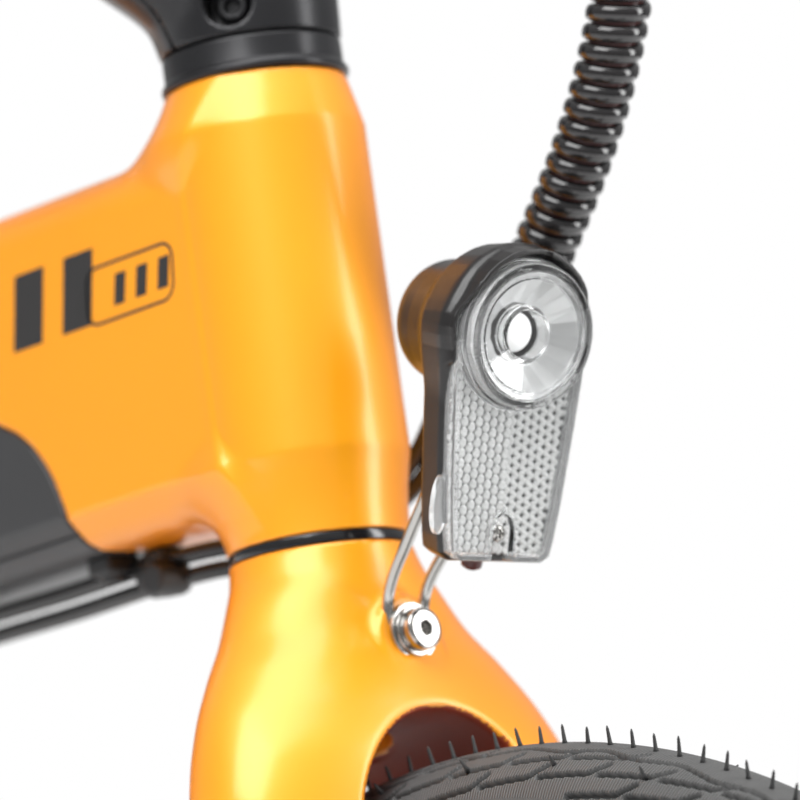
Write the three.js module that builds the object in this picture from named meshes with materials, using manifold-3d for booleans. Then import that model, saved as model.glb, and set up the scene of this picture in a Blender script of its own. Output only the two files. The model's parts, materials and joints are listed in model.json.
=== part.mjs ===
// Folding bicycle: small wheels, a hinged main beam, a folding and telescoping handlepost.
// Millimetres. +X forward, +Y to the rider's left, +Z up. While it is being drawn, x = 0 is the
// bottom bracket; the finished group is moved so that x = 0 is midway between the two tyres.
import * as THREE from 'three';
import { mergeVertices } from 'three/addons/utils/BufferGeometryUtils.js';
import Module from 'manifold-3d';
const wasm = await Module();
wasm.setup();

// ---- driving dimensions -------------------------------------------------------------------
const GAP = 0.3;                    // clearance between separate pieces
const LEAN = 18.5 * Math.PI / 180;  // steering axis, back from the vertical
const WHEEL_R = 252;                // 20 x 1.95 tyre
const TYRE_W = 48;
const BEAD_R = 203;
const FRONT_X = 605, REAR_X = -430; // axles
const RAKE = 44;                    // axle ahead of the steering axis
const CROWN_UP = 318;               // lower headset ring above the axle, along the axis
const HEAD_H = 132;                 // between the headset rings
const BEAM_W = 57;                  // main beam width
const BEAM_LO = 15, BEAM_HI = 119;  // main beam below and above, measured along the axis
const JOINT_X = 105;                // main hinge
const BB_Z = 285, CRANK = 165;
const SEAT_LEAN = 17 * Math.PI / 180;
const BAR_H = 528;                  // handlebar above the lower headset ring, along the axis
const PIN_OFF = 64;                 // handlepost hinge pin from the steering axis

const V = (x, y, z) => new THREE.Vector3(x, y, z);
const X = V(1, 0, 0), Y = V(0, 1, 0), Z = V(0, 0, 1);
const N = V(-Math.sin(LEAN), 0, Math.cos(LEAN));   // up the steering axis
const F = V(Math.cos(LEAN), 0, Math.sin(LEAN));    // forward, square to it
const FRONT = V(FRONT_X, 0, WHEEL_R), REAR = V(REAR_X, 0, WHEEL_R);
const CROWN = FRONT.clone().addScaledVector(F, -RAKE).addScaledVector(N, CROWN_UP);
const BB = V(0, 0, BB_Z);
const at = (O, a, u, b, v, c, w) => O.clone().addScaledVector(u, a).addScaledVector(v, b).addScaledVector(w, c);
const S = (f, y, h) => at(CROWN, f, F, y, Y, h, N);   // a point in steering coordinates
const W = F.clone().add(Y).normalize();               // forward and left
const U = F.clone().sub(Y).normalize();               // handlepost hinge axis

// ---- solids ---------------------------------------------------------------------------------
const TAU = Math.PI * 2;
function solid(points, faces) {
  const g = new THREE.BufferGeometry();
  g.setAttribute('position', new THREE.Float32BufferAttribute(points.flatMap(p => [p.x, p.y, p.z]), 3));
  g.setIndex(faces);
  let vol = 0;
  for (let i = 0; i < faces.length; i += 3) {
    const [a, b, c] = [points[faces[i]], points[faces[i + 1]], points[faces[i + 2]]];
    vol += a.dot(b.clone().cross(c));
  }
  if (vol < 0) g.setIndex(faces.map((v, i) => i % 3 === 1 ? faces[i + 1] : i % 3 === 2 ? faces[i - 1] : v));
  return g;
}
// skin over rings of equal count; flat fans close the ends unless the rings loop
function skin(rings, loop = false) {
  const m = rings[0].length, pts = rings.flat(), f = [];
  const k = loop ? rings.length : rings.length - 1;
  for (let i = 0; i < k; i++) for (let j = 0; j < m; j++) {
    const a = i * m + j, b = i * m + (j + 1) % m, c = ((i + 1) % rings.length) * m;
    f.push(a, b, c + (j + 1) % m, a, c + (j + 1) % m, c + j);
  }
  if (!loop) for (const [start, flip] of [[0, 1], [(rings.length - 1) * m, 0]]) {
    const mid = V(0, 0, 0);
    for (let j = 0; j < m; j++) mid.addScaledVector(pts[start + j], 1 / m);
    const q = pts.push(mid) - 1;
    for (let j = 0; j < m; j++) {
      const a = start + j, b = start + (j + 1) % m;
      flip ? f.push(q, b, a) : f.push(q, a, b);
    }
  }
  return solid(pts, f);
}
const oval = (O, u, v, a, b, n = 16, k = 2, turn = 0) => Array.from({ length: n }, (_, i) => {
  const t = TAU * (i + turn) / n, c = Math.cos(t), s = Math.sin(t);
  const e = 2 / k;
  return at(O, a * Math.sign(c) * Math.abs(c) ** e, u, b * Math.sign(s) * Math.abs(s) ** e, v, 0, u);
});
const flat = (O, u, v, outline) => outline.map(([a, b]) => at(O, a, u, b, v, 0, u));
function square(axis) {            // two directions square to an axis
  const u = Math.abs(axis.y) < 0.9 ? Y.clone().cross(axis).normalize() : Z.clone().cross(axis).normalize();
  return [u, axis.clone().cross(u)];
}
// a turned solid: [radius, distance along the axis] pairs
function turned(O, axis, profile, n = 16, turn = 0) {
  const [u, v] = square(axis);
  return skin(profile.map(([r, t]) => oval(at(O, t, axis, 0, u, 0, u), u, v, r, r, n, 2, turn)));
}
// a turned ring with a hole through it
function hollow(O, axis, profile, n = 16, turn = 0) {
  const [u, v] = square(axis);
  return skin(profile.map(([r, t]) => oval(at(O, t, axis, 0, u, 0, u), u, v, r, r, n, 2, turn)), true);
}
const rod = (A, B, r, n = 8, r2 = r) => {
  const d = B.clone().sub(A), L = d.length();
  return turned(A, d.normalize(), [[r, 0], [r2, L]], n);
};
function block(O, u, v, w, a, b, c, cut = 0) {   // centred block, long edges cut by a chamfer
  const q = cut, p = cut ? [[-a + q, -b], [a - q, -b], [a, -b + q], [a, b - q], [a - q, b], [-a + q, b],
    [-a, b - q], [-a, -b + q]] : [[-a, -b], [a, -b], [a, b], [-a, b]];
  return skin([-c, c].map(t => flat(at(O, t, w, 0, u, 0, u), u, v, p)));
}
function pipe(points, r, n = 6, steps = 12) {   // round bar along a smooth curve
  const c = new THREE.CatmullRomCurve3(points), fr = c.computeFrenetFrames(steps, false);
  return skin(Array.from({ length: steps + 1 }, (_, i) =>
    oval(c.getPointAt(i / steps), fr.normals[i], fr.binormals[i], r, r, n)));
}
function tomf(g) {
  const q = g.clone();
  q.deleteAttribute('normal'); q.deleteAttribute('uv');
  const m = mergeVertices(q, 1e-4);
  return new wasm.Manifold(new wasm.Mesh({ numProp: 3, vertProperties: new Float32Array(m.attributes.position.array),
    triVerts: new Uint32Array(m.index.array) }));
}
function frommf(m) {
  const q = m.getMesh(), g = new THREE.BufferGeometry();
  g.setAttribute('position', new THREE.BufferAttribute(new Float32Array(q.vertProperties), 3));
  g.setIndex(Array.from(q.triVerts));
  return g;
}
const join = (...g) => frommf(g.map(tomf).reduce((a, b) => a.add(b)));
const cut = (g, ...tools) => frommf(tools.map(tomf).reduce((a, b) => a.subtract(b), tomf(g)));
const both = (a, b) => frommf(tomf(a).intersect(tomf(b)));

const bike = new THREE.Group();
bike.name = 'folding_bicycle';
const PAINT = [0xf09a18, 0.32, 0.25], BLACK = [0x1b1b1c, 0.45, 0], SATIN = [0x222224, 0.4, 0.6];
const STEEL = [0xb9bcc0, 0.3, 1], CHROME = [0xd9dbde, 0.12, 1], RUBBER = [0x262627, 0.85, 0];
const CHARCOAL = [0x4b4848, 0.5, 0.1], ALLOY = [0xa9acb0, 0.35, 1];
function add(name, geometry, [color, roughness, metalness]) {
  const mesh = new THREE.Mesh(geometry, new THREE.MeshStandardMaterial({ color, roughness, metalness }));
  mesh.name = name;
  mesh.position.x = -(FRONT_X + REAR_X) / 2;
  bike.add(mesh);
}

// ---- main beam, front half --------------------------------------------------------------------
// the beam runs square to the steering axis; its section is a tall box with round corners
const beamRing = (f, lo, hi, w) => flat(S(f, 0, 0), Y, N, [
  [w, lo + 10], [w, hi - 14], [w * 0.84, hi - 5], [w * 0.5, hi - 0.7], [0, hi], [-w * 0.5, hi - 0.7],
  [-w * 0.84, hi - 5], [-w, hi - 14], [-w, lo + 10], [-w * 0.8, lo + 3], [-w * 0.4, lo], [w * 0.4, lo],
  [w * 0.8, lo + 3]]);
const HW = BEAM_W / 2;
const beamF = skin([[8, 22, 113], [-24, 19, 115], [-40, 15, 117.5], [-60, BEAM_LO, 118.6], [-90, BEAM_LO, BEAM_HI],
  [-420, BEAM_LO, BEAM_HI]].map(([f, lo, hi]) => beamRing(f, lo, hi, f > 0 ? HW - 1.5 : HW)));
const headTube = turned(CROWN, N, [[25.5, 1.35 + GAP], [25.9, 6], [26.8, 14], [HW, 26], [HW, HEAD_H - 12],
  [25, HEAD_H - GAP]], 20);
const aheadOf = (x, z0, z1) => block(V(x + 500, 0, (z0 + z1) / 2), X, Y, Z, 500, 120, (z1 - z0) / 2);
const PIN = V(JOINT_X, 38, 0);
const plateOutline = [[-41, 452], [-36, 432], [-20, 420], [22, 420], [44, 432], [44, 546], [22, 560], [-20, 560],
  [-36, 548], [-41, 528]];
const plate = (x0, x1) => skin([x0, x1].map(x => flat(V(x, 0, 0), Y, Z, plateOutline)));
const knuckles = [[424, 448, 1], [448, 532, 0], [532, 556, 1]];   // z from, z to, 1 = front half
const eye = (z0, z1, r) => rod(V(PIN.x, PIN.y, z0), V(PIN.x, PIN.y, z1), r, 10);
const packOutline = [[-72, 10], [-72, 26], [-73.7, 31], [-75.4, 36], [-78.4, 41.6], [-82.7, 47.4], [-88.7, 52.3],
  [-96, 56.4], [-108, 60], [-125, 62], [-318, 62], [-324, 56], [-324, 10]];
const along = (outline, grow, y0, y1) => {
  const c = outline.reduce((s, p) => [s[0] + p[0] / outline.length, s[1] + p[1] / outline.length], [0, 0]);
  return skin([y0, y1].map(y => flat(S(0, y, 0), F, N, outline.map(([a, b]) =>
    [a + Math.sign(a - c[0]) * grow, b + Math.sign(b - c[1]) * grow]))));
};
const packHole = along(packOutline, 0.4, -HW - 5, HW + 5);
const tray = block(S(-215, 0, 90), F, Y, N, 160, HW - 4, 21);      // space inside the upper beam
let frameF = join(both(join(beamF, plate(JOINT_X + GAP, JOINT_X + 11)), aheadOf(JOINT_X + GAP, 300, 760)), headTube);
frameF = join(frameF, ...knuckles.filter(k => k[2]).map(k => eye(k[0] + GAP, k[1] - GAP, 11)));
frameF = cut(frameF, packHole, tray, rod(S(0, 0, -5), S(0, 0, HEAD_H + 5), 15.2, 16),
  ...knuckles.filter(k => !k[2]).map(k => eye(k[0] - GAP, k[1] + GAP, 14.5)), eye(400, 580, 5.3));
add('front_frame', frameF, PAINT);
add('battery_pack', both(beamF, along(packOutline, 0, -HW - 5, HW + 5)), CHARCOAL);
add('frame_hinge_pin', join(eye(421, 559, 5), eye(415, 421, 8), eye(559, 564, 8)), STEEL);
add('headset_ring', hollow(CROWN, N, [[25.5, -1.35], [25.5, 1.35], [15.2, 1.35], [15.2, -1.35]], 20), BLACK);
add('headset_collar', hollow(S(0, 0, HEAD_H), N, [[25.7, 0], [26, 1], [25.6, 3.2], [24.9, 3.4], [24.9, 10], [15.2, 10],
  [15.2, 0]], 20), SATIN);

// cables: round the neck, through a clip, along under the beam
const neckPath = (dy, dh) => [S(12, 39.5 + dy, 33 + dh), S(-2, 41 + dy, 20 + dh / 2), S(-18, 36 + dy * 2, 9),
  S(-38, 20 + dy * 2, 4), S(-62, 3 + dy * 2, 4.5 + dh / 2), S(-100, -2 + dy * 2, 5.5), S(-150, 0 + dy * 2, 7),
  S(-230, 2 + dy * 2, 8.5), S(-320, 4 + dy * 2, 8.5)];
add('neck_cable_a', pipe(neckPath(0, 0), 2.6, 5, 15), BLACK);
add('neck_cable_b', pipe(neckPath(5.8, 3), 2.6, 5, 15), BLACK);
const clipAt = S(-86, 2.5, 5.2);
add('cable_clip', cut(block(clipAt, F, Y, N, 6, 14, 6.5, 2), pipe(neckPath(0, 0), 3.1, 6, 18),
  pipe(neckPath(5.8, 3), 3.1, 6, 18), block(S(-86, 0, 15.2), F, Y, N, 8, 20, 3.5)), BLACK);

// ---- latch of the main joint ----------------------------------------------------------------
add('frame_latch_lever', join(skin([[0, 6], [14, 7], [45, 6], [80, 4]].map(([d, h]) =>
  flat(V(JOINT_X + 13 + d, -50 - (d > 40 ? 1.5 : 0), 489 + d * 0.33), Y, Z,
    [[-3.5, -2.2 * h], [3.5, -2.2 * h], [5, 0], [3.5, 2.2 * h], [-3.5, 2.2 * h]]))),
  rod(V(JOINT_X + 13, -50, 466), V(JOINT_X + 13, -50, 512), 6.5, 14)), SATIN);

// ---- rear frame ---------------------------------------------------------------------------
const SA = V(-Math.sin(SEAT_LEAN), 0, Math.cos(SEAT_LEAN));
const seat = (t, y = 0, f = 0) => at(BB, t, SA, y, Y, f, X);
const beamR = skin([[-340, BEAM_LO, BEAM_HI, HW], [-400, BEAM_LO, BEAM_HI - 2, HW], [-470, BEAM_LO + 3, BEAM_HI - 10, HW - 4],
  [-560, BEAM_LO + 10, BEAM_HI - 24, 19]].map(([f, lo, hi, w]) => beamRing(f, lo, hi, w)));
const behind = block(V(JOINT_X - GAP - 500, 0, 500), X, Y, Z, 500, 120, 240);
const strut = (a, b, sec) => skin(sec.map(([t, r, s]) => {
  const [u, v] = square(b.clone().sub(a).normalize());
  return oval(a.clone().lerp(b, t), u, v, r, s, 10);
}));
const stay = (pts, r) => pipe(pts, r, 6, 7);
const tailParts = [-1, 1].flatMap(s => [
  stay([V(-8, s * 24, 280), V(-70, s * 34, 274), V(-130, s * 38, 268), V(-200, s * 48, 264), V(-320, s * 70, 258),
    V(-412, s * 70.5, 254)], 8),
  stay([seat(268, s * 10), V(-130, s * 30, 508), V(-200, s * 44, 450), V(-310, s * 62, 360), V(-414, s * 71, 268)], 7.5),
  rod(V(REAR_X, s * 69, WHEEL_R), V(REAR_X, s * 76, WHEEL_R), 19, 12)]);
let frameR = join(both(join(beamR, plate(JOINT_X - 11, JOINT_X - GAP)), behind),
  rod(seat(-10), seat(290), 20.5, 14), rod(V(0, -36, BB_Z), V(0, 36, BB_Z), 23, 14),
  ...knuckles.filter(k => !k[2]).map(k => eye(k[0] + GAP, k[1] - GAP, 11)), ...tailParts,
  block(V(-318, 74, 248), X, Z, Y, 14, 14, 12, 3));
frameR = cut(frameR, rod(seat(28), seat(300), 17.5, 14), rod(V(0, -40, BB_Z), V(0, 40, BB_Z), 10.2, 12),
  ...knuckles.filter(k => k[2]).map(k => eye(k[0] - GAP, k[1] + GAP, 14.5)), eye(400, 580, 5.3),
  rod(V(REAR_X, -90, WHEEL_R), V(REAR_X, 90, WHEEL_R), 6.6, 8));
add('rear_frame', frameR, PAINT);
add('rear_axle', join(rod(V(REAR_X, -84, WHEEL_R), V(REAR_X, 84, WHEEL_R), 6, 8),
  ...[-1, 1].map(s => rod(V(REAR_X, s * 76.3, WHEEL_R), V(REAR_X, s * 83, WHEEL_R), 11, 6))), STEEL);
const caliper = (O, e1, e2, y0, y1, s0, s1) => cut(
  block(V(O.x, (y0 + y1) / 2, O.z), e1, e2, Y, 20, 16, (y1 - y0) / 2, 5),
  block(V(O.x, (s0 + s1) / 2, O.z), e1, e2, Y, 40, 9, (s1 - s0) / 2));
const ARM_R = V(-369, 0, 281);
const slotCut = (centre, r, y0, y1) => rod(V(centre.x, y0, centre.z), V(centre.x, y1, centre.z), r, 24);
add('rear_caliper', cut(block(V(-367, 54.2, 280), X, Z, Y, 18, 15, 7.6, 5), slotCut(REAR, 82, 51, 55.5)), SATIN);
add('rear_cable', pipe([V(88, 22, 424), V(40, 30, 412), V(0, 33, 385), V(-70, 32, 330), V(-150, 52, 290),
  V(-250, 69, 283), V(-340, 72, 300)], 2.5, 5, 10), BLACK);

// chain: a flat loop round the chainring and the freewheel sprocket
const RING_R = 86, SPROCKET_R = 32, CHAIN_Y = -57;
function loopOutline(g) {
  const d = -REAR_X, dz = BB_Z - WHEEL_R, L = Math.hypot(d, dz), tilt = Math.atan2(dz, d);
  const a = Math.acos((RING_R - SPROCKET_R) / L), p = [];
  for (let i = 0; i <= 15; i++) {
    const t = tilt + Math.PI + a + (TAU - 2 * a) * i / 15;
    p.push([Math.cos(t) * (RING_R + g), BB_Z + Math.sin(t) * (RING_R + g)]);
  }
  for (let i = 0; i <= 6; i++) {
    const t = tilt + Math.PI - a + 2 * a * i / 6;
    p.push([REAR_X + Math.cos(t) * (SPROCKET_R + g), WHEEL_R + Math.sin(t) * (SPROCKET_R + g)]);
  }
  return p;
}
const ring4 = (g, y) => loopOutline(g).map(([x, z]) => V(x, y, z));
add('chain', skin([ring4(1.3, CHAIN_Y - 3.5), ring4(1.3, CHAIN_Y + 3.5), ring4(6, CHAIN_Y + 3.5),
  ring4(6, CHAIN_Y - 3.5)], true), STEEL);

// ---- cranks, chainring, folding pedals ------------------------------------------------------
const crankArm = s => join(skin([[0, 18, 7], [20, 14, 7], [140, 11, 6], [CRANK + 12, 12, 6]].map(([d, w, t]) =>
  oval(V(s * d - (d ? 0 : s * 16), s * (70 + d * 0.05), BB_Z), Z, Y, w, t, 8, 3))),
  rod(V(0, s * 63, BB_Z), V(0, s * 77, BB_Z), 18, 12));
add('crank_left', join(crankArm(1), rod(V(0, -62, BB_Z), V(0, 66, BB_Z), 9.6, 12),
  rod(V(CRANK, 74, BB_Z), V(CRANK, 96, BB_Z), 7, 8)), ALLOY);
add('crank_right', cut(join(crankArm(-1), rod(V(-CRANK, -74, BB_Z), V(-CRANK, -96, BB_Z), 7, 8)),
  rod(V(0, -62.5, BB_Z), V(0, -50, BB_Z), 12, 8)), ALLOY);
add('chainring', cut(join(hollow(V(0, CHAIN_Y, BB_Z), Y, [[RING_R, -1.8], [RING_R, 1.8], [66, 1.8], [66, -1.8]], 24),
  ...[0, 1, 2, 3, 4].map(i => {
    const t = TAU * i / 5 + 0.3, d = V(Math.cos(t), 0, Math.sin(t));
    return block(V(0, CHAIN_Y, BB_Z).addScaledVector(d, 42), d, d.clone().cross(Y), Y, 27, 7, 1.8);
  }), rod(V(0, CHAIN_Y - 1.8, BB_Z), V(0, CHAIN_Y + 1.8, BB_Z), 20, 12)),
  rod(V(0, -90, BB_Z), V(0, -20, BB_Z), 10.2, 12)), SATIN);
for (const [side, s] of [['left', 1], ['right', -1]]) {
  const z = BB_Z, cx = s * CRANK;
  add(`pedal_block_${side}`, cut(join(block(V(cx, s * 93, z), X, Z, Y, 15, 11, 7, 3),
    rod(V(cx - 12, s * 99.5, z + s * 10), V(cx + 12, s * 99.5, z + s * 10), 5, 8)),
    rod(V(cx, s * 70, z), V(cx, s * 96.3, z), 7.7, 8)), SATIN);
  const x0 = 46, rim = [[-x0, 109], [x0, 109], [x0, 179], [x0 - 14, 189], [-x0 + 14, 189], [-x0, 179]];
  const hole = [[-x0 + 10, 119], [-6, 119], [-6, 179], [-x0 + 16, 179], [-x0 + 10, 173]];
  const lay = (o, z0, z1) => skin([z0, z1].map(q => o.map(([x, y]) => V(cx + x, s * y, z + q))));
  add(`pedal_${side}`, cut(join(lay(rim, -11, 11), block(V(cx, s * 109, z + s * 8), X, Z, Y, 12, 3, 3.8)),
    lay(hole, -20, 20), lay(hole.map(([x, y]) => [-x, y]), -20, 20)), BLACK);
}

// ---- rear wheel and freewheel ------------------------------------------------------------
const tyreProfile = Array.from({ length: 6 }, (_, i) => {
  const t = (i / 5 * 2 - 1) * 2.42;
  return [228 + 24 * Math.cos(t), TYRE_W / 2 * Math.sin(t)];
});
const FACETS = 28, APOTHEM = Math.cos(Math.PI / FACETS);
// the tread is flat over a narrow crown and over each facet, so the tyre rests on a real flat
const tyreRing = tyreProfile.map(([r, y], i) => i === 2 || i === 3 ? [WHEEL_R / APOTHEM, y] : [r, y]);
const tyre = C => hollow(C, Y, [...tyreRing, [BEAD_R + 2, 14], [BEAD_R + 2, -14]], FACETS, 0.5);
const rimRing = [[BEAD_R + 1.2, -13.6], [BEAD_R + 1.2, 13.6], [BEAD_R - 17, 8], [BEAD_R - 17, -8]];
function wheelCore(C, shell, flangeR, flangeY, spokes) {
  const parts = [hollow(C, Y, shell, 14)];
  for (let i = 0; i < spokes; i++) {
    const s = i % 2 ? 1 : -1, t = TAU * (i + 0.5) / spokes, t2 = t + 0.28 * (i % 4 < 2 ? 1 : -1) * (flangeR < 40 ? 1 : 0.4);
    const a = V(C.x + Math.cos(t2) * (flangeR - 3), s * flangeY, C.z + Math.sin(t2) * (flangeR - 3));
    const b = V(C.x + Math.cos(t) * (BEAD_R - 20), s * 2, C.z + Math.sin(t) * (BEAD_R - 20));
    parts.push(rod(a, b, 1.5, 3));
  }
  return join(...parts);
}
add('rear_tyre', tyre(REAR), RUBBER);
add('rear_rim', hollow(REAR, Y, rimRing, FACETS, 0.5), SATIN);
add('rear_hub', wheelCore(REAR, [[6.4, -50], [18, -50], [18, -42], [54, -38], [60, -34], [60, -26], [56, -24], [56, 24],
  [60, 26], [60, 34], [54, 38], [18, 42], [18, 60], [6.4, 60]], 59, 30, 12), SATIN);
const disc = (C, y) => cut(hollow(V(C.x, y, C.z), Y, [[80, -0.9], [80, 0.9], [66, 0.9], [66, -0.9]], 20));
const rotor = (C, y, bore) => join(disc(C, y), hollow(V(C.x, y, C.z), Y, [[bore + 9, -0.9], [bore + 9, 0.9], [bore, 0.9],
  [bore, -0.9]], 12), ...[0, 1, 2, 3].map(i => {
  const t = TAU * i / 4 + 0.4, d = V(Math.cos(t), 0, Math.sin(t)), m = (bore + 73) / 2 + 2;
  return block(V(C.x, y, C.z).addScaledVector(d, m), d, d.clone().cross(Y), Y, 69 - m, 4, 0.9);
}));
add('rear_rotor', rotor(REAR, 53.2, 18.8), STEEL);
add('freewheel', hollow(V(REAR_X, 0, WHEEL_R), Y, [[SPROCKET_R, CHAIN_Y - 1.6], [SPROCKET_R, CHAIN_Y + 1.6],
  [22, CHAIN_Y + 2], [22, -50.4], [6.5, -50.4], [6.5, CHAIN_Y - 6], [20, CHAIN_Y - 6], [20, CHAIN_Y - 1.6]], 16), STEEL);

// ---- seat post, saddle ------------------------------------------------------------------
add('seat_clamp', cut(join(hollow(seat(0), SA, [[25, 290.4], [25, 308], [17.3, 308], [17.3, 290.4]], 16),
  block(seat(299, 0, -31), X, Y, SA, 9, 9, 8, 2), rod(seat(299, -13, -33), seat(299, 24, -33), 4, 8)), rod(seat(285), seat(310), 17.3, 16)), SATIN);
add('seat_clamp_lever', join(rod(seat(292, 32, -33), seat(306, 32, -33), 6.5, 10),
  skin([[-2, 5], [25, 7], [62, 5]].map(([d, w]) => oval(seat(299 - d * 0.25, 32 + d * 0.04, -33 + d * 0.9), Y, SA, 3, w, 8, 3)))), SATIN);
add('seatpost', rod(seat(140), seat(550), 16.6, 14), STEEL);
const rail = s => pipe([seat(580, s * 8, 95), seat(566, s * 22, 45), seat(562, s * 22, 0), seat(562, s * 22, -50),
  seat(578, s * 30, -95)], 3.5, 5, 8);
add('saddle_rails', join(rail(1), rail(-1), block(seat(579, 0, -94), X, SA, Y, 5, 5, 31),
  block(seat(580.5, 0, 94), X, SA, Y, 5, 5, 10)), STEEL);
add('saddle_clamp', cut(join(block(seat(563.5, 0, 0), X, Y, SA, 22, 31, 7, 5)), rail(1), rail(-1),
  ...[-1, 1].map(s => pipe([seat(580, s * 8, 95), seat(566, s * 22, 45), seat(562, s * 22, 0), seat(562, s * 22, -50),
    seat(578, s * 30, -95)], 4.4, 5, 8))), SATIN);
add('saddle', skin([[-132, 60, 14, 4], [-118, 80, 26, 3], [-85, 84, 33, 0], [-40, 66, 33, -2], [10, 38, 30, -3],
  [60, 23, 27, 0], [105, 19, 22, 2], [122, 10, 14, 2]].map(([x, w, t, z]) => {
  const O = seat(586, 0, x);
  return flat(V(O.x, 0, O.z + z), Y, Z, [[-w * 0.9, 0], [-w * 0.4, 3], [w * 0.4, 3], [w * 0.9, 0], [w, t * 0.45],
    [w * 0.85, t * 0.85], [w * 0.4, t], [0, t * 0.97], [-w * 0.4, t], [-w * 0.85, t * 0.85], [-w, t * 0.45]]);
})), BLACK);

// ---- kickstand ------------------------------------------------------------------------
const STAND = V(-318, 90, 240), FOOT = V(-300, 178, 0);
add('kickstand', join(skin([[0, 10], [0.12, 8], [0.9, 6.5], [1, 6.5]].map(([t, r]) => {
  const p = STAND.clone().add(V(0, 7.5, -1)).lerp(FOOT.clone().add(V(0, 0, 6)), t);
  return oval(p, X, Y, r, r, 8);
})), skin([0, 8].map(z => oval(V(FOOT.x, FOOT.y, z), X, Y, 16, 12, 12, 3)))), SATIN);

// ---- fork ---------------------------------------------------------------------------------
const bell = skin([[-1.65, 25.5, 25.5, 0, 2], [-8, 25.3, 27.4, 0.8, 2], [-14.5, 25, 31.4, 1.9, 2], [-25, 24.7, 37.3, 3, 2.1],
  [-36, 26, 46, 5.8, 2.3], [-49, 26.5, 53.5, 8.6, 3], [-63, 27.5, 57.8, 10.7, 3.6], [-76, 27, 58.2, 12.5, 3.8]]
  .map(([h, a, b, f, k]) => oval(S(f, 0, h), F, Y, a, b, 20, k)));
const legs = [-1, 1].map(s => skin([[-60, 33, 57.8, 26], [-80, 34, 58, 23], [-120, 36, 58, 19], [-205, 40, 58.5, 15],
  [-232, 43, 58.5, 14], [-290, 47, 58.5, 12], [-304, 50.5, 58, 12], [-318, 50.5, 57.5, 13], [-331, 50.5, 57.5, 8]]
  .map(([h, y0, y1, w]) => oval(S(10.7 + (-60 - h) * 0.129, s * (y0 + y1) / 2, h), F, Y, w, (y1 - y0) / 2, 8, 2.6))));
const archCut = skin(Array.from({ length: 7 }, (_, i) => {
  const t = (i / 6 * 2 - 1) * 1.15, d = at(V(0, 0, 0), Math.sin(t), F, Math.cos(t), N, 0, N);
  return oval(at(FRONT, 226, d, 0, d, 0, d), d, Y, 41, 34, 10, 2.4);
}));
const boss = rod(S(20, 0, -29), S(28.7, 0, -29), 8, 12);
let fork = cut(join(bell, boss, ...legs), archCut, block(S(38.8, 0, -27.5), F, Y, N, 10, 9, 10.5), rod(S(18, 0, -29), S(40, 0, -29), 3.6, 8),
  rod(V(FRONT_X, -70, WHEEL_R), V(FRONT_X, 70, WHEEL_R), 5.6, 8));
fork = join(fork, rod(S(0, 0, -20), S(0, 0, 180), 14.2, 16));
add('fork', fork, PAINT);
add('front_axle', join(rod(V(FRONT_X, -70, WHEEL_R), V(FRONT_X, 70, WHEEL_R), 5, 8),
  ...[-1, 1].map(s => rod(V(FRONT_X, s * 58.9, WHEEL_R), V(FRONT_X, s * 67, WHEEL_R), 10, 6))), STEEL);
add('front_caliper', cut(block(V(547, 38.5, 292), X, Z, Y, 15, 18, 9.5, 5), slotCut(FRONT, 82, 34.2, 38.8)), SATIN);

// ---- lamp on its wire stay ----------------------------------------------------------------
const WIRE = 1.5;
add('lamp_bolt', join(rod(S(20, 0, -29), S(33, 0, -29), 3, 8), rod(S(32.4, 0, -29), S(33.7, 0, -29), 8, 14),
  rod(S(33.7, 0, -29), S(38, 0, -29), 5.9, 14)), CHROME);
const wirePath = s => [S(30.7, s * 4.9, -29), S(30.9, s * 6.3, -14), S(32.5, s * 7.2, -3), S(35, s * 8, 5), S(41, s * 9.5, 11.5),
  S(52, s * 12, 13.6), S(60, s * 12, 14)];
add('lamp_stay', join(pipe([...wirePath(-1).reverse(), S(30.7, -3.6, -33.2), S(30.7, 0, -34.7), S(30.7, 3.6, -33.2),
  ...wirePath(1)], WIRE, 5, 26), block(S(62, 0, 14), F, Y, N, 4, 15, 2)), CHROME);
// lamp coordinates: forward along the beam of light, up across it
const TIP = 4 * Math.PI / 180;
const LF = V(Math.cos(TIP), 0, Math.sin(TIP)), LU = V(-Math.sin(TIP), 0, Math.cos(TIP));
const LENS = V(540.6, 0, 606.4);
const lamp = (f, y, u) => at(LENS, f, LF, y, Y, u, LU);
const shell = (f, grow = 0) => flat(lamp(f, 0, 0), Y, LU, [[0, 23], [9, 22], [16, 18], [20.5, 11], [24.5, 3], [25.5, -6],
  [23.5, -14], [21.5, -20], [20, -40], [18, -55], [14, -60], [-14, -60], [-18, -55], [-20, -40], [-21.5, -20],
  [-23.5, -14], [-25.5, -6], [-24.5, 3], [-20.5, 11], [-16, 18], [-9, 22]].map(([a, b]) =>
  [a - Math.sign(a) * grow, b - Math.sign(b) * grow]));
add('lamp_housing', cut(join(skin([shell(-37, 5), shell(-34, 1.5), shell(-12), shell(-8)]),
  rod(lamp(-48, 0, 0), lamp(-30, 0, 0), 15, 16)),
  skin([shell(-14, 3), shell(-7, 3)]), block(S(62, 0, 14), F, Y, N, 4.4, 15.4, 2.4),
  ...[-1, 1].map(s => rod(S(50, s * 12, 13.4), S(63, s * 12, 14.2), 2.3, 6))), BLACK);
add('lamp_reflector', cut(skin([shell(-13.5, 3.4), shell(-9, 3.4)]), rod(lamp(-11.5, 0, 0), lamp(-5, 0, 0), 17, 16)), CHROME);
add('lamp_lens', join(skin([shell(-7.6), shell(-3, 0.4), shell(-2, 2)]), hollow(lamp(0, 0, 0), LF, [[18.3, -3], [18.3, 0],
  [15.5, 0], [15.5, -3]], 20)), [0xdfe6ea, 0.05, 0]);
add('lamp_cable_stub', rod(lamp(-31, 0, -60.4), lamp(-31, 0, -66.5), 2.5, 10), BLACK);

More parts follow.
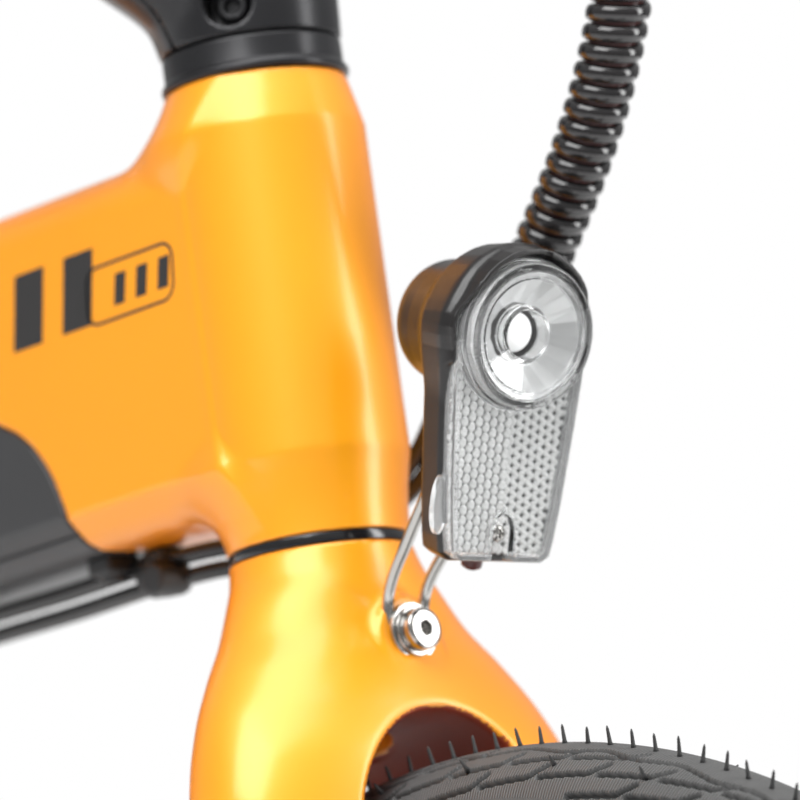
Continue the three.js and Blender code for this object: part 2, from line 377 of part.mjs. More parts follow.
// ---- handlepost: base, hinge, post, telescoping upper post, bar -----------------------------
const stadium = (h, a0, a1, b, r) => flat(S(0, 0, h), W, U, Array.from({ length: 16 }, (_, i) => {
  const t = TAU * i / 16, c = Math.cos(t), s = Math.sin(t);
  return [c > 0 ? a1 + (r - 0) * c : -a0 + r * c, b * s];
}));
const HINGE_H = 188;
const pinRod = (a, b, r) => rod(at(CROWN, -PIN_OFF, W, a, U, HINGE_H, N), at(CROWN, -PIN_OFF, W, b, U, HINGE_H, N), r, 10);
const at3 = (w, u, h, a, b, c) => block(at(CROWN, w, W, u, U, h, N), W, U, N, a, b, c);
let base = join(skin([stadium(142.4, 0.01, 0.01, 25.2, 25.2), stadium(150, 2, 0.3, 25.3, 25.2),
  stadium(165, 16, 1, 25, 25.2), stadium(178, 31, 2, 24.5, 25), stadium(HINGE_H - GAP, 33, 4, 24, 25)]),
  pinRod(-9.7, 9.7, 9), at3(-44, 0, 181.6, 20, 9.7, 6), at3(-40, 0, 183, 17, 21, 4.7));
base = cut(base, rod(S(0, 0, 138), S(0, 0, 181), 14.8, 16), pinRod(-30, -10, 9.6), pinRod(10, 30, 9.6), pinRod(-30, 30, 4.3));
add('stem_base', base, SATIN);
add('post_hinge_pin', pinRod(-23, 23, 4), STEEL);
let post = join(skin([stadium(HINGE_H + GAP, 33, 4, 24, 25), stadium(200, 33, 4, 24, 25), stadium(216, 8, 1, 22, 22),
  stadium(232, 0.01, 0.01, 20, 20), stadium(400, 0.01, 0.01, 20, 20), stadium(400.5, 0.01, 0.01, 24, 24),
  stadium(418, 0.01, 0.01, 24, 24)]),
  pinRod(-22, -10.3, 9), pinRod(10.3, 22, 9), at3(-44, 0, 194, 20, 21, 5.7));
post = cut(post, pinRod(-10.2, 10.2, 9.6), pinRod(-30, 30, 4.3), rod(S(0, 0, 225), S(0, 0, 420), 15.4, 16));
add('handlepost', post, SATIN);
add('post_latch_lever', join(rod(at(CROWN, 37, W, -14, U, HINGE_H + 8, N), at(CROWN, 37, W, 14, U, HINGE_H + 8, N), 7, 14),
  skin([[0, 6], [20, 9], [70, 7], [86, 4]].map(([d, w]) => oval(at(CROWN, 38 - d * 0.1, W, 0, U, HINGE_H + 8 + d, N),
    U, W, w, 4, 12, 3)))), SATIN);
add('upper_post', cut(join(rod(S(0, 0, 290), S(0, 0, 512), 14.8, 16), rod(S(0, -24, BAR_H), S(0, 24, BAR_H), 19, 16)),
  rod(S(0, -30, BAR_H), S(0, 30, BAR_H), 11.7, 16)), SATIN);
add('handlebar', rod(S(0, -286, BAR_H), S(0, 286, BAR_H), 11.1, 16), SATIN);
for (const [side, s] of [['left', 1], ['right', -1]]) {
  add(`grip_${side}`, cut(join(rod(S(0, s * 168, BAR_H), S(0, s * 292, BAR_H), 16, 16),
    rod(S(0, s * 166, BAR_H), S(0, s * 171, BAR_H), 18.5, 16)), rod(S(0, s * 150, BAR_H), S(0, s * 286.4, BAR_H), 11.7, 16)), RUBBER);
  add(`lever_bracket_${side}`, cut(join(rod(S(0, s * 138, BAR_H), S(0, s * 156, BAR_H), 16, 12),
    block(S(21, s * 146, BAR_H), F, Y, N, 9, 10, 8, 2)), rod(S(0, s * 130, BAR_H), S(0, s * 160, BAR_H), 11.9, 12),
    block(S(24, s * 150, BAR_H), F, Y, N, 9, 20, 3.9)), SATIN);
  add(`brake_lever_${side}`, skin([[140, 25, 6], [150, 29, 7], [165, 42, 6], [185, 52, 5.5], [265, 59, 5.5], [278, 60.5, 6]]
    .map(([y, f, w]) => oval(S(f, s * y, BAR_H), F, N, w, 3.4, 8, 2.6))), SATIN);
}
add('display', cut(join(block(S(6, 52, BAR_H + 19), F, Y, N, 20, 24, 7, 5), rod(S(0, 40, BAR_H), S(0, 62, BAR_H), 15, 12)),
  rod(S(0, 20, BAR_H), S(0, 80, BAR_H), 11.9, 12)), BLACK);
// cable bundle in its spiral wrap: from the bar, bowed forward, to beside the lamp
const loomPath = [S(34, 30, 498), S(58, 36, 455), S(92, 42, 360), S(112, 45, 240), S(110, 45, 160), S(97, 45, 110),
  S(80, 45, 78), S(62, 44.5, 56)];
add('cable_loom', pipe(loomPath, 8.8, 8, 13), BLACK);

// ---- front wheel ------------------------------------------------------------------------
add('front_tyre', tyre(FRONT), RUBBER);
add('front_rim', hollow(FRONT, Y, rimRing, FACETS, 0.5), SATIN);
add('front_hub', wheelCore(FRONT, [[5.4, -46], [14, -46], [14, -31], [24, -30], [24, -26], [13, -25], [13, 25], [24, 26],
  [24, 30], [16, 31], [16, 46], [5.4, 46]], 23, 28, 12), SATIN);
add('front_rotor', rotor(FRONT, 36.5, 16.8), STEEL);

export default bike;
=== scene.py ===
"""The folding bicycle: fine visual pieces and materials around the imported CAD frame.

Lengths are millimetres in local axes, turned into metres when a mesh is made. STEER runs along the
steering axis (f forward, y left, h up), BIKE stands on the ground below the bottom bracket, SEAT runs up
the seat tube, and LAMP sits in the lamp lens and faces the way the lamp points (f forward, y left, u up).
"""
import json
import math

import bmesh
import bpy
import numpy as np
from mathutils import Matrix, Vector


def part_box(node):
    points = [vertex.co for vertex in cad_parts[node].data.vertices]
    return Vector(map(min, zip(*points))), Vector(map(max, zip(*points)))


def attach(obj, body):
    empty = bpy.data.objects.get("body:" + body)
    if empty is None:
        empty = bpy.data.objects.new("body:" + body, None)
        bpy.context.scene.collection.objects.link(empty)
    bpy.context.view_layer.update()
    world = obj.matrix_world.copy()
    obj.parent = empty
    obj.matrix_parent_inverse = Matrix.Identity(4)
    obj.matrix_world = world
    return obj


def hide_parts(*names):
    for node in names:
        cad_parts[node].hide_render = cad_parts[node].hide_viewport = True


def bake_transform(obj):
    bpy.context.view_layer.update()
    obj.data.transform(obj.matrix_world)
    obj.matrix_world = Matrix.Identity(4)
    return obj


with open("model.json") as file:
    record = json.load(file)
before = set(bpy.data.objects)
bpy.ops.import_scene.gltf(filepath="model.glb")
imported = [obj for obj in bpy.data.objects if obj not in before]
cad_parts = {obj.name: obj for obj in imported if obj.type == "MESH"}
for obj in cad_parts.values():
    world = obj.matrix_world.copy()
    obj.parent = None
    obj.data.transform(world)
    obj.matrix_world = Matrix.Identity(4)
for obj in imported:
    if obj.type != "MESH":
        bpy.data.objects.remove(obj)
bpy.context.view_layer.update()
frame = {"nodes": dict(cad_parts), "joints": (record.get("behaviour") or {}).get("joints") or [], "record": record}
TAU = 2 * math.pi
MM = 0.001
X, Y, Z = np.eye(3)


# ---- places taken from the frame -----------------------------------------------------------
def box_mm(node):
    lo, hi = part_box(node)
    return np.array(lo) / MM, np.array(hi) / MM


def centre(node):
    lo, hi = box_mm(node)
    return (lo + hi) / 2


def joint(name):
    return next(j for j in frame["joints"] if j["name"] == name)


class Axes:
    """A local set of axes: rows of `rows` are its three directions."""

    def __init__(self, origin, a, b, c):
        self.o, self.rows = np.array(origin, float), np.array([a, b, c], float)

    def __call__(self, *p):
        p = np.array(p[0] if len(p) == 1 else p, float)
        return self.o + p @ self.rows

    def turn(self, v):
        return np.array(v, float) @ self.rows


FRONT, REAR = centre("front_tyre"), centre("rear_tyre")
WHEEL_R = (box_mm("front_tyre")[1] - box_mm("front_tyre")[0])[0] / 2
N = np.array(joint("steering")["axis"], float)
N /= np.linalg.norm(N)
F = np.array([N[2], 0, -N[0]])
RAKE, CROWN_RISE = 44, 318          # the axle sits this far ahead of and below the lower headset ring
STEER = Axes(FRONT - RAKE * F + CROWN_RISE * N, F, Y, N)
CHAINSTAY_REACH = 430               # bottom bracket ahead of the rear axle
BB = centre("crank_left") * [0, 0, 1] + np.array([REAR[0] + CHAINSTAY_REACH, 0, 0])
BIKE = Axes(BB * [1, 0, 0], X, Y, Z)
SEAT_AXIS = -np.array(joint("saddle_height")["axis"], float)
SEAT_AXIS /= np.linalg.norm(SEAT_AXIS)
SEAT = Axes(BB, X, Y, SEAT_AXIS)
LAMP_TILT = math.radians(-1.8)
LAMP_YAW = math.radians(6.5)
LEVEL, DIP = math.cos(LAMP_TILT), math.sin(LAMP_TILT)
LAMP_F = np.array([LEVEL * math.cos(LAMP_YAW), -math.sin(LAMP_YAW), DIP * math.cos(LAMP_YAW)])
LAMP_Y = np.cross([-DIP, 0, LEVEL], LAMP_F)
LAMP = Axes(STEER(95.6, 0.7, 38.7), LAMP_F, LAMP_Y, np.cross(LAMP_F, LAMP_Y))
JOINT_X, HINGE_Y = 105, 38          # where the two frame halves meet and their hinge line, in BIKE


# ---- distance fields, in millimetres --------------------------------------------------------
def smin(a, b, k):
    t = np.clip(0.5 + 0.5 * (b - a) / k, 0, 1)
    return b + (a - b) * t - k * t * (1 - t)


def smax(a, b, k):
    return -smin(-a, -b, k)


def curve(x, xs, ys):
    """A smooth curve through the points that never overshoots them."""
    xs, ys = np.array(xs, float), np.array(ys, float)
    if xs[0] > xs[-1]:
        xs, ys = xs[::-1], ys[::-1]
    h = np.diff(xs)
    d = np.diff(ys) / h
    m = np.zeros(len(xs))
    m[0], m[-1] = d[0], d[-1]
    same = d[:-1] * d[1:] > 0
    w1, w2 = 2 * h[1:] + h[:-1], h[1:] + 2 * h[:-1]
    safe = np.where(same, d[:-1] * d[1:], 1)
    m[1:-1] = np.where(same, (w1 + w2) * safe / (w1 * d[1:] + w2 * d[:-1] + 1e-12 * (~same)), 0)
    x = np.clip(x, xs[0], xs[-1])
    i = np.clip(np.searchsorted(xs, x) - 1, 0, len(h) - 1)
    t = (x - xs[i]) / h[i]
    return ((1 + 2 * t) * (1 - t) ** 2 * ys[i] + t * (1 - t) ** 2 * h[i] * m[i]
            + t * t * (3 - 2 * t) * ys[i + 1] + t * t * (t - 1) * h[i] * m[i + 1])


def poly(x, y, points):
    """Signed distance to a closed outline, negative inside."""
    p = np.array(points, float)
    shape = np.broadcast(x, y).shape
    d, s = np.full(shape, 1e18), np.ones(shape, bool)
    for i in range(len(p)):
        a, b = p[i], p[i - 1]
        e, wx, wy = b - a, x - a[0], y - a[1]
        t = np.clip((wx * e[0] + wy * e[1]) / (e @ e), 0, 1)
        d = np.minimum(d, (wx - e[0] * t) ** 2 + (wy - e[1] * t) ** 2)
        c1, c2, c3 = y >= a[1], y < b[1], e[0] * wy > e[1] * wx
        s = s ^ ((c1 & c2 & c3) | (~c1 & ~c2 & ~c3))
    return np.sqrt(d) * np.where(s, 1, -1)


def block(x, y, z, c, half, r=1.0):
    dx, dy, dz = (abs(v - m) - (w - r) for v, m, w in zip((x, y, z), c, half))
    out = np.sqrt(np.maximum(dx, 0) ** 2 + np.maximum(dy, 0) ** 2 + np.maximum(dz, 0) ** 2)
    return out + np.minimum(np.maximum(dx, np.maximum(dy, dz)), 0) - r


def disc(radius, along, r, lo, hi, edge=1.0):
    """A turned disc or rod: distance from its axis, place along the axis, radius, ends, edge rounding."""
    return smax(radius - r, abs(along - (lo + hi) / 2) - (hi - lo) / 2, edge)


def rod(x, y, z, a, b, r, edge=0.8):
    a, b = np.array(a, float), np.array(b, float)
    d = (b - a) / np.linalg.norm(b - a)
    px, py, pz = x - a[0], y - a[1], z - a[2]
    t = px * d[0] + py * d[1] + pz * d[2]
    q = np.sqrt(np.maximum(px * px + py * py + pz * pz - t * t, 0))
    return disc(q, t, r, 0, np.linalg.norm(b - a), edge)


# ---- meshes -----------------------------------------------------------------------------------
def make(name, verts, faces, mats, normals=None, face_mats=None, smooth=True):
    """One object from millimetre vertices in the row frame."""
    me = bpy.data.meshes.new(name)
    verts = np.asarray(verts, float) * MM
    if isinstance(faces, np.ndarray):
        k = faces.shape[1]
        me.vertices.add(len(verts))
        me.vertices.foreach_set("co", verts.astype(np.float32).ravel())
        me.loops.add(faces.size)
        me.loops.foreach_set("vertex_index", faces.astype(np.int32).ravel())
        me.polygons.add(len(faces))
        me.polygons.foreach_set("loop_start", (np.arange(len(faces)) * k).astype(np.int32))
        me.update(calc_edges=True)
        me.validate()
    else:
        me.from_pydata(verts.tolist(), [], faces)
    for m in mats if isinstance(mats, (list, tuple)) else [mats]:
        me.materials.append(m)
    if smooth:
        me.polygons.foreach_set("use_smooth", [True] * len(me.polygons))
    if face_mats is not None:
        me.polygons.foreach_set("material_index", np.asarray(face_mats, np.int32))
    if normals is not None:
        me.normals_split_custom_set_from_vertices([tuple(v) for v in normals])
    ob = bpy.data.objects.new(name, me)
    bpy.context.scene.collection.objects.link(ob)
    return ob


CORNERS = np.array([[i, j, k] for i in (0, 1) for j in (0, 1) for k in (0, 1)])
EDGES = [(a, b) for a in range(8) for b in range(a + 1, 8) if abs(CORNERS[a] - CORNERS[b]).sum() == 1]


def skin(fn, lo, hi, step):
    """Closed quad skin of the solid where fn is negative, with exact normals (surface nets)."""
    lo, hi = np.array(lo, float), np.array(hi, float)
    n = np.ceil((hi - lo) / step).astype(int) + 1
    gx, gy, gz = (lo[i] + step * np.arange(n[i]) for i in range(3))
    v = np.array(np.broadcast_to(fn(gx[:, None, None], gy[None, :, None], gz[None, None, :]), n), float)
    for a in range(3):
        for e in (0, -1):
            edge = [slice(None)] * 3
            edge[a] = e
            v[tuple(edge)] = np.maximum(v[tuple(edge)], step * 0.01)
    inside = v < 0
    count = sum(inside[i:n[0] - 1 + i, j:n[1] - 1 + j, k:n[2] - 1 + k].astype(np.int8)
                for i, j, k in CORNERS)
    active = (count > 0) & (count < 8)
    cells = np.argwhere(active)
    index = np.full(active.shape, -1)
    index[active] = np.arange(len(cells))
    total, hits = np.zeros((len(cells), 3)), np.zeros(len(cells))
    for a, b in EDGES:
        ca, cb = cells + CORNERS[a], cells + CORNERS[b]
        va, vb = v[tuple(ca.T)], v[tuple(cb.T)]
        m = (va < 0) != (vb < 0)
        t = np.where(m, va / np.where(m, va - vb, 1), 0)
        total += m[:, None] * (CORNERS[a] + t[:, None] * (CORNERS[b] - CORNERS[a]))
        hits += m
    verts = lo + step * (cells + total / hits[:, None])
    quads = []
    for a in range(3):
        b, c = (a + 1) % 3, (a + 2) % 3
        lo_side = [slice(None)] * 3
        hi_side = [slice(None)] * 3
        lo_side[a], hi_side[a] = slice(0, -1), slice(1, None)
        for d in (b, c):
            lo_side[d] = hi_side[d] = slice(1, -1)
        s0, s1 = inside[tuple(lo_side)], inside[tuple(hi_side)]
        for found, flip in ((s0 & ~s1, False), (~s0 & s1, True)):
            e = np.argwhere(found)
            e[:, b] += 1
            e[:, c] += 1
            ring = []
            for db, dc in ((-1, -1), (0, -1), (0, 0), (-1, 0)):
                q = e.copy()
                q[:, b] += db
                q[:, c] += dc
                ring.append(index[tuple(q.T)])
            q = np.stack(ring, 1)
            quads.append(q[:, ::-1] if flip else q)

    def gradient(p, eps):
        g = np.zeros_like(p)
        for a in range(3):
            d = np.zeros(3)
            d[a] = eps
            g[:, a] = (fn(*(p + d).T) - fn(*(p - d).T)) / (2 * eps)
        return g

    for _ in range(3):
        g = gradient(verts, step * 0.1)
        move = fn(*verts.T)[:, None] * g / np.maximum((g * g).sum(1)[:, None], 0.05)
        length = np.linalg.norm(move, axis=1)[:, None]
        verts = verts - move * np.minimum(1, 0.5 * step / np.maximum(length, 1e-9))
    g = gradient(verts, step * 0.3)
    return verts, np.concatenate(quads), g / np.maximum(np.linalg.norm(g, axis=1)[:, None], 1e-9)


def carve(name, fn, lo, hi, step, axes, mats, paint_faces=None):
    """A moulded or cast piece from its distance field in local axes."""
    v, q, n = skin(fn, lo, hi, step)
    faces = paint_faces(v[q].mean(1), n[q].mean(1)) if paint_faces else None
    return make(name, axes(v), q, mats, normals=axes.turn(n), face_mats=faces)


def grid_faces(rows, cols, wrap_rows=False, wrap_cols=True):
    r = np.arange(rows if wrap_rows else rows - 1)[:, None]
    c = np.arange(cols if wrap_cols else cols - 1)[None, :]
    r2, c2 = (r + 1) % rows, (c + 1) % cols
    return np.stack([r * cols + c, r * cols + c2, r2 * cols + c2, r2 * cols + c], -1).reshape(-1, 4)


def spline(points, count):
    """Evenly spaced points on a centripetal curve through the given points."""
    p = np.array(points, float)
    p = np.vstack([2 * p[0] - p[1], p, 2 * p[-1] - p[-2]])
    out = []
    for i in range(1, len(p) - 2):
        p0, p1, p2, p3 = p[i - 1:i + 3]
        t = np.linspace(0, 1, 24, endpoint=False)[:, None]
        d = [max(np.linalg.norm(b - a), 1e-6) ** 0.5 for a, b in ((p0, p1), (p1, p2), (p2, p3))]
        m1 = (p1 - p0) / d[0] - (p2 - p0) / (d[0] + d[1]) + (p2 - p1) / d[1]
        m2 = (p2 - p1) / d[1] - (p3 - p1) / (d[1] + d[2]) + (p3 - p2) / d[2]
        m1, m2 = m1 * d[1], m2 * d[1]
        out.append((2 * t ** 3 - 3 * t ** 2 + 1) * p1 + (t ** 3 - 2 * t ** 2 + t) * m1
                   + (3 * t ** 2 - 2 * t ** 3) * p2 + (t ** 3 - t ** 2) * m2)
    q = np.vstack(out + [p[-2:-1]])
    s = np.concatenate([[0], np.cumsum(np.linalg.norm(np.diff(q, axis=0), axis=1))])
    u = np.linspace(0, s[-1], count)
    return np.stack([np.interp(u, s, q[:, k]) for k in range(3)], 1), s[-1]


def carried_axes(path):
    """Tangent and two side directions carried along a path without twisting."""
    t = np.gradient(path, axis=0)
    t /= np.linalg.norm(t, axis=1)[:, None]
    a = np.cross(t[0], Z if abs(t[0][2]) < 0.9 else Y)
    a /= np.linalg.norm(a)
    sides = [a]
    for i in range(1, len(t)):
        a = sides[-1] - (sides[-1] @ t[i]) * t[i]
        sides.append(a / np.linalg.norm(a))
    a = np.array(sides)
    return t, a, np.cross(t, a)


def capped(rings, start, end):
    """A closed skin over rings of points, drawn to one point at each end."""
    n, k = rings.shape[:2]
    last = (n - 1) * k
    f = [tuple(q) for q in grid_faces(n, k)[:, ::-1]] + [((i + 1) % k, i, n * k) for i in range(k)]
    f += [(last + i, last + (i + 1) % k, n * k + 1) for i in range(k)]
    return np.vstack([rings.reshape(-1, 3), start, end]), f


def sweep(path, radius, sides=16):
    """A round-ended tube along a path; radius may be a number or one value per point."""
    t, a, b = carried_axes(path)
    r = np.broadcast_to(np.asarray(radius, float), (len(path),))
    th = np.arange(sides) / sides * TAU
    around = np.cos(th)[:, None] * a[:, None] + np.sin(th)[:, None] * b[:, None]
    rings = path[:, None] + r[:, None, None] * around
    ends = (0.5, 0.45), (0.95, 0.2)
    first = [path[0] + (rings[0] - path[0]) * c - t[0] * r[0] * e for c, e in ends]
    last = [path[-1] + (rings[-1] - path[-1]) * c + t[-1] * r[-1] * e for c, e in reversed(ends)]
    rings = np.concatenate([first, rings, last])
    return capped(rings, path[0] - t[0] * r[0] * 0.5, path[-1] + t[-1] * r[-1] * 0.5)


def tube(name, points, r, mats, sides=16, count=None):
    length = np.linalg.norm(np.diff(np.array(points, float), axis=0), axis=1).sum()
    path, _ = spline(points, count or max(8, int(length / max(r, 1.5))))
    v, f = sweep(path, r, sides)
    return make(name, v, f, mats)


def merged(parts):
    """Several vertex and face lists as one."""
    v, f, at = [], [], 0
    for pv, pf in parts:
        v.append(np.asarray(pv, float))
        f += [tuple(int(i) + at for i in q) for q in pf]
        at += len(pv)
    return np.vstack(v), f


def prism(near, far):
    """A closed prism between two matching rings of points."""
    k = len(near)
    sides = [(i, (i + 1) % k, k + (i + 1) % k, k + i) for i in range(k)]
    return np.vstack([near, far]), [tuple(range(k)), tuple(range(2 * k - 1, k - 1, -1))] + sides


def lathe(profile, origin, axis, sides=96, closed=True, ref=None):
    """A turned ring or knob: (radius, along) points round an axis. Sharp corners get a fine chamfer."""
    p = np.array(profile, float)
    axis = np.array(axis, float) / np.linalg.norm(axis)
    a = np.cross(axis, Y if abs(axis[1]) < 0.9 else Z) if ref is None else np.array(ref, float)
    a /= np.linalg.norm(a)
    b = np.cross(axis, a)
    out = []
    n = len(p)
    for i in range(n):
        if not closed and i in (0, n - 1):
            out.append(p[i])
            continue
        q0, q1, q2 = p[i - 1], p[i], p[(i + 1) % n]
        e0, e1 = q0 - q1, q2 - q1
        l0, l1 = np.linalg.norm(e0), np.linalg.norm(e1)
        cut = min(0.35, l0 * 0.3, l1 * 0.3)
        bend = (e0 @ e1) / (l0 * l1)
        if bend < -0.9:
            out.append(q1)
        else:
            c0, c1 = q1 + e0 / l0 * cut, q1 + e1 / l1 * cut
            out += [c0, (c0 + c1 + 2 * q1) / 4, c1]
    p = np.array(out)
    th = np.arange(sides) / sides * TAU
    ring = np.cos(th)[:, None] * a + np.sin(th)[:, None] * b
    v = np.asarray(origin, float) + p[:, 0][:, None, None] * ring[None] + p[:, 1][:, None, None] * axis
    return v.reshape(-1, 3), [tuple(q) for q in grid_faces(len(p), sides, wrap_rows=closed)]


def outward(ob):
    """Turns every face of a closed mesh to look outwards."""
    bm = bmesh.new()
    bm.from_mesh(ob.data)
    bmesh.ops.recalc_face_normals(bm, faces=bm.faces)
    bm.to_mesh(ob.data)
    bm.free()
    return ob


def crisp(ob, angle=35):
    """Smooth shading that still breaks at real edges."""
    me = ob.data
    me.polygons.foreach_set("use_smooth", [True] * len(me.polygons))
    me.set_sharp_from_angle(angle=math.radians(angle))
    return ob


def place(ob, body, *nodes, slot=None):
    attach(ob, body)
    if nodes:
        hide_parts(*nodes)
    return ob


def cast(name, fn, lo, hi, step, axes, mats, body, *nodes, slot, paint_faces=None):
    """A carved piece on its body."""
    ob = carve(name, fn, lo, hi, step, axes, mats, paint_faces)
    return place(ob, body, *nodes, slot=slot)


def turned(name, origin, axis, profile, mats, body, *nodes, slot, sides=72, angle=35):
    """A lathe-turned piece on its body."""
    ob = make(name, *lathe(profile, origin, axis, sides), mats)
    return place(crisp(outward(ob), angle), body, *nodes, slot=slot)


def bundle(name, parts, mats, body, *nodes, slot):
    """Many small closed parts as one piece on its body."""
    return place(make(name, *merged(parts), mats), body, *nodes, slot=slot)


# ---- materials ---------------------------------------------------------------------------------
def surface(name, colour, rough, metal=0.0, coat=0.0, coat_rough=0.08, grain=0.5, depth=0.01, mottle=30,
            shift=0.05, rough_shift=0.06, edge=None, trans=0.0, sheen=0.0, ior=1.5, brush=None, dust=None):
    """A node material: `grain` and `mottle` are sizes in mm, `depth` the bump height in mm."""
    m = bpy.data.materials.new(name)
    m.use_nodes = True
    nt = m.node_tree
    new, link = nt.nodes.new, nt.links.new
    b = nt.nodes["Principled BSDF"]
    place_in = new("ShaderNodeTexCoord").outputs["Object"]
    if brush is not None:
        stretch = new("ShaderNodeMapping")
        stretch.inputs["Scale"].default_value = brush
        link(place_in, stretch.inputs[0])
        fine_in = stretch.outputs[0]
    else:
        fine_in = place_in
    fine, broad = new("ShaderNodeTexNoise"), new("ShaderNodeTexNoise")
    fine.inputs["Scale"].default_value, fine.inputs["Detail"].default_value = 1000 / grain, 4
    broad.inputs["Scale"].default_value, broad.inputs["Detail"].default_value = 1000 / mottle, 3
    link(fine_in, fine.inputs["Vector"])
    link(place_in, broad.inputs["Vector"])

    def mix(fac, a, c):
        n = new("ShaderNodeMix")
        n.data_type = "RGBA"
        link(fac, n.inputs[0]) if not isinstance(fac, float) else setattr(n.inputs[0], "default_value", fac)
        for socket, v in ((n.inputs[6], a), (n.inputs[7], c)):
            link(v, socket) if not isinstance(v, tuple) else setattr(socket, "default_value", (*v, 1))
        return n.outputs[2]

    colour = tuple(colour)
    out = mix(broad.outputs[0], tuple(c * (1 - shift) for c in colour),
              tuple(min(1, c * (1 + shift)) for c in colour))
    if edge:
        weight = new("ShaderNodeLayerWeight")
        weight.inputs[0].default_value = 0.35
        out = mix(weight.outputs["Facing"], out, tuple(edge))
    if dust:
        ramp = new("ShaderNodeMapRange")
        ramp.inputs[1].default_value, ramp.inputs[2].default_value = 0.55, 0.8
        link(fine.outputs[0], ramp.inputs[0])
        out = mix(ramp.outputs[0], out, tuple(dust))
    link(out, b.inputs["Base Color"])
    span = new("ShaderNodeMapRange")
    span.inputs[3].default_value = max(0, rough - rough_shift)
    span.inputs[4].default_value = rough + rough_shift
    link(fine.outputs[0], span.inputs[0])
    link(span.outputs[0], b.inputs["Roughness"])
    if depth:
        bump = new("ShaderNodeBump")
        bump.inputs["Strength"].default_value, bump.inputs["Distance"].default_value = 1.0, depth * MM
        link(fine.outputs[0], bump.inputs["Height"])
        link(bump.outputs[0], b.inputs["Normal"])
    for key, v in (("Metallic", metal), ("Coat Weight", coat), ("Coat Roughness", coat_rough),
                   ("Transmission Weight", trans), ("Sheen Weight", sheen), ("IOR", ior)):
        b.inputs[key].default_value = v
    return m


def nodes_in(tree, *kinds):
    return [tree.nodes.new("ShaderNode" + k) for k in kinds]


def clear_through(m):
    """Lets light pass a clear part, so what sits behind it isn't in shadow."""
    nt = m.node_tree
    path, see, both = nodes_in(nt, "LightPath", "BsdfTransparent", "MixShader")
    nt.links.new(path.outputs["Is Shadow Ray"], both.inputs[0])
    nt.links.new(nt.nodes["Principled BSDF"].outputs[0], both.inputs[1])
    nt.links.new(see.outputs[0], both.inputs[2])
    nt.links.new(both.outputs[0], nt.nodes["Material Output"].inputs[0])
    return m


PAINT = surface("orange_pearl", (1.0, 0.39, 0.001), 0.42, metal=0.18, coat=0.6, coat_rough=0.2, grain=0.35,
                depth=0.0015, mottle=60, shift=0.03, rough_shift=0.04, edge=(0.95, 0.24, 0.004))
# Painted shade: the inside of the fork crown's tyre opening is coloured dark red to stand for the shade under the
# crown.
PAINTED_SHADE = surface("crown_painted_shade", (0.3, 0.035, 0.008), 0.5, grain=0.5, depth=0.01, mottle=25,
                       shift=0.2)
# The emitter glows faintly though the lamp is not lit: painted light.
LED = surface("emitter_lens", (0.95, 0.95, 0.95), 0.2, grain=1, depth=0.002, mottle=3, shift=0.03)
LED.node_tree.nodes["Principled BSDF"].inputs["Emission Color"].default_value = (1, 1, 1, 1)
LED.node_tree.nodes["Principled BSDF"].inputs["Emission Strength"].default_value = 0.12
CHARCOAL = surface("charcoal_plastic", (0.04, 0.04, 0.042), 0.33, grain=0.5, depth=0.012, mottle=40,
                   shift=0.08)
GLOSS = surface("gloss_black", (0.008, 0.008, 0.009), 0.16, coat=0.4, grain=0.8, depth=0.003, mottle=20,
                shift=0.3, rough_shift=0.05)
MATT = surface("satin_black", (0.016, 0.016, 0.018), 0.33, grain=0.35, depth=0.006, mottle=30, shift=0.15)
LAMP_SHELL = surface("lamp_black", (0.012, 0.011, 0.011), 0.3, grain=0.5, depth=0.006, mottle=15, shift=0.2)
ANOD = surface("satin_anodised", (0.02, 0.02, 0.022), 0.3, metal=0.4, grain=0.3, depth=0.004, mottle=30,
               shift=0.1)
CHROME = surface("chrome", (0.45, 0.44, 0.42), 0.17, metal=1, grain=1.5, depth=0.002, mottle=12, shift=0.03,
                 rough_shift=0.03)
STEEL = surface("brushed_steel", (0.55, 0.55, 0.55), 0.28, metal=1, grain=0.6, depth=0.004, mottle=10,
                shift=0.08, brush=(1, 6, 1))
ALLOY = surface("alloy", (0.62, 0.62, 0.63), 0.3, metal=1, grain=0.5, depth=0.004, mottle=20, shift=0.06)
RUBBER = surface("black_rubber", (0.018, 0.018, 0.019), 0.5, grain=0.5, depth=0.02, mottle=10, shift=0.2)
GRIP = surface("grip_rubber", (0.022, 0.022, 0.024), 0.6, grain=0.7, depth=0.05, mottle=10, shift=0.2)
VINYL = surface("saddle_vinyl", (0.018, 0.017, 0.017), 0.46, grain=1.1, depth=0.06, mottle=25, shift=0.25,
                sheen=0.15)
THREAD = surface("thread", (0.12, 0.12, 0.12), 0.8, grain=0.3, depth=0.05, mottle=3, shift=0.3)
CABLE = surface("cable_black", (0.014, 0.013, 0.013), 0.24, coat=0.3, grain=0.8, depth=0.004, mottle=12,
                shift=0.3)
WRAP = surface("spiral_wrap", (0.012, 0.011, 0.0115), 0.13, coat=0.5, coat_rough=0.05, grain=1.2,
               depth=0.003, mottle=6, shift=0.4, rough_shift=0.04)
WIRE_RED = surface("dark_red_sleeve", (0.07, 0.01, 0.008), 0.3, grain=0.6, depth=0.01, mottle=8, shift=0.3)
CLEAR = clear_through(surface("clear_plastic", (0.97, 0.98, 0.98), 0.03, trans=1, ior=1.49, grain=4,
                              depth=0.001, mottle=20, shift=0.01, rough_shift=0.02))
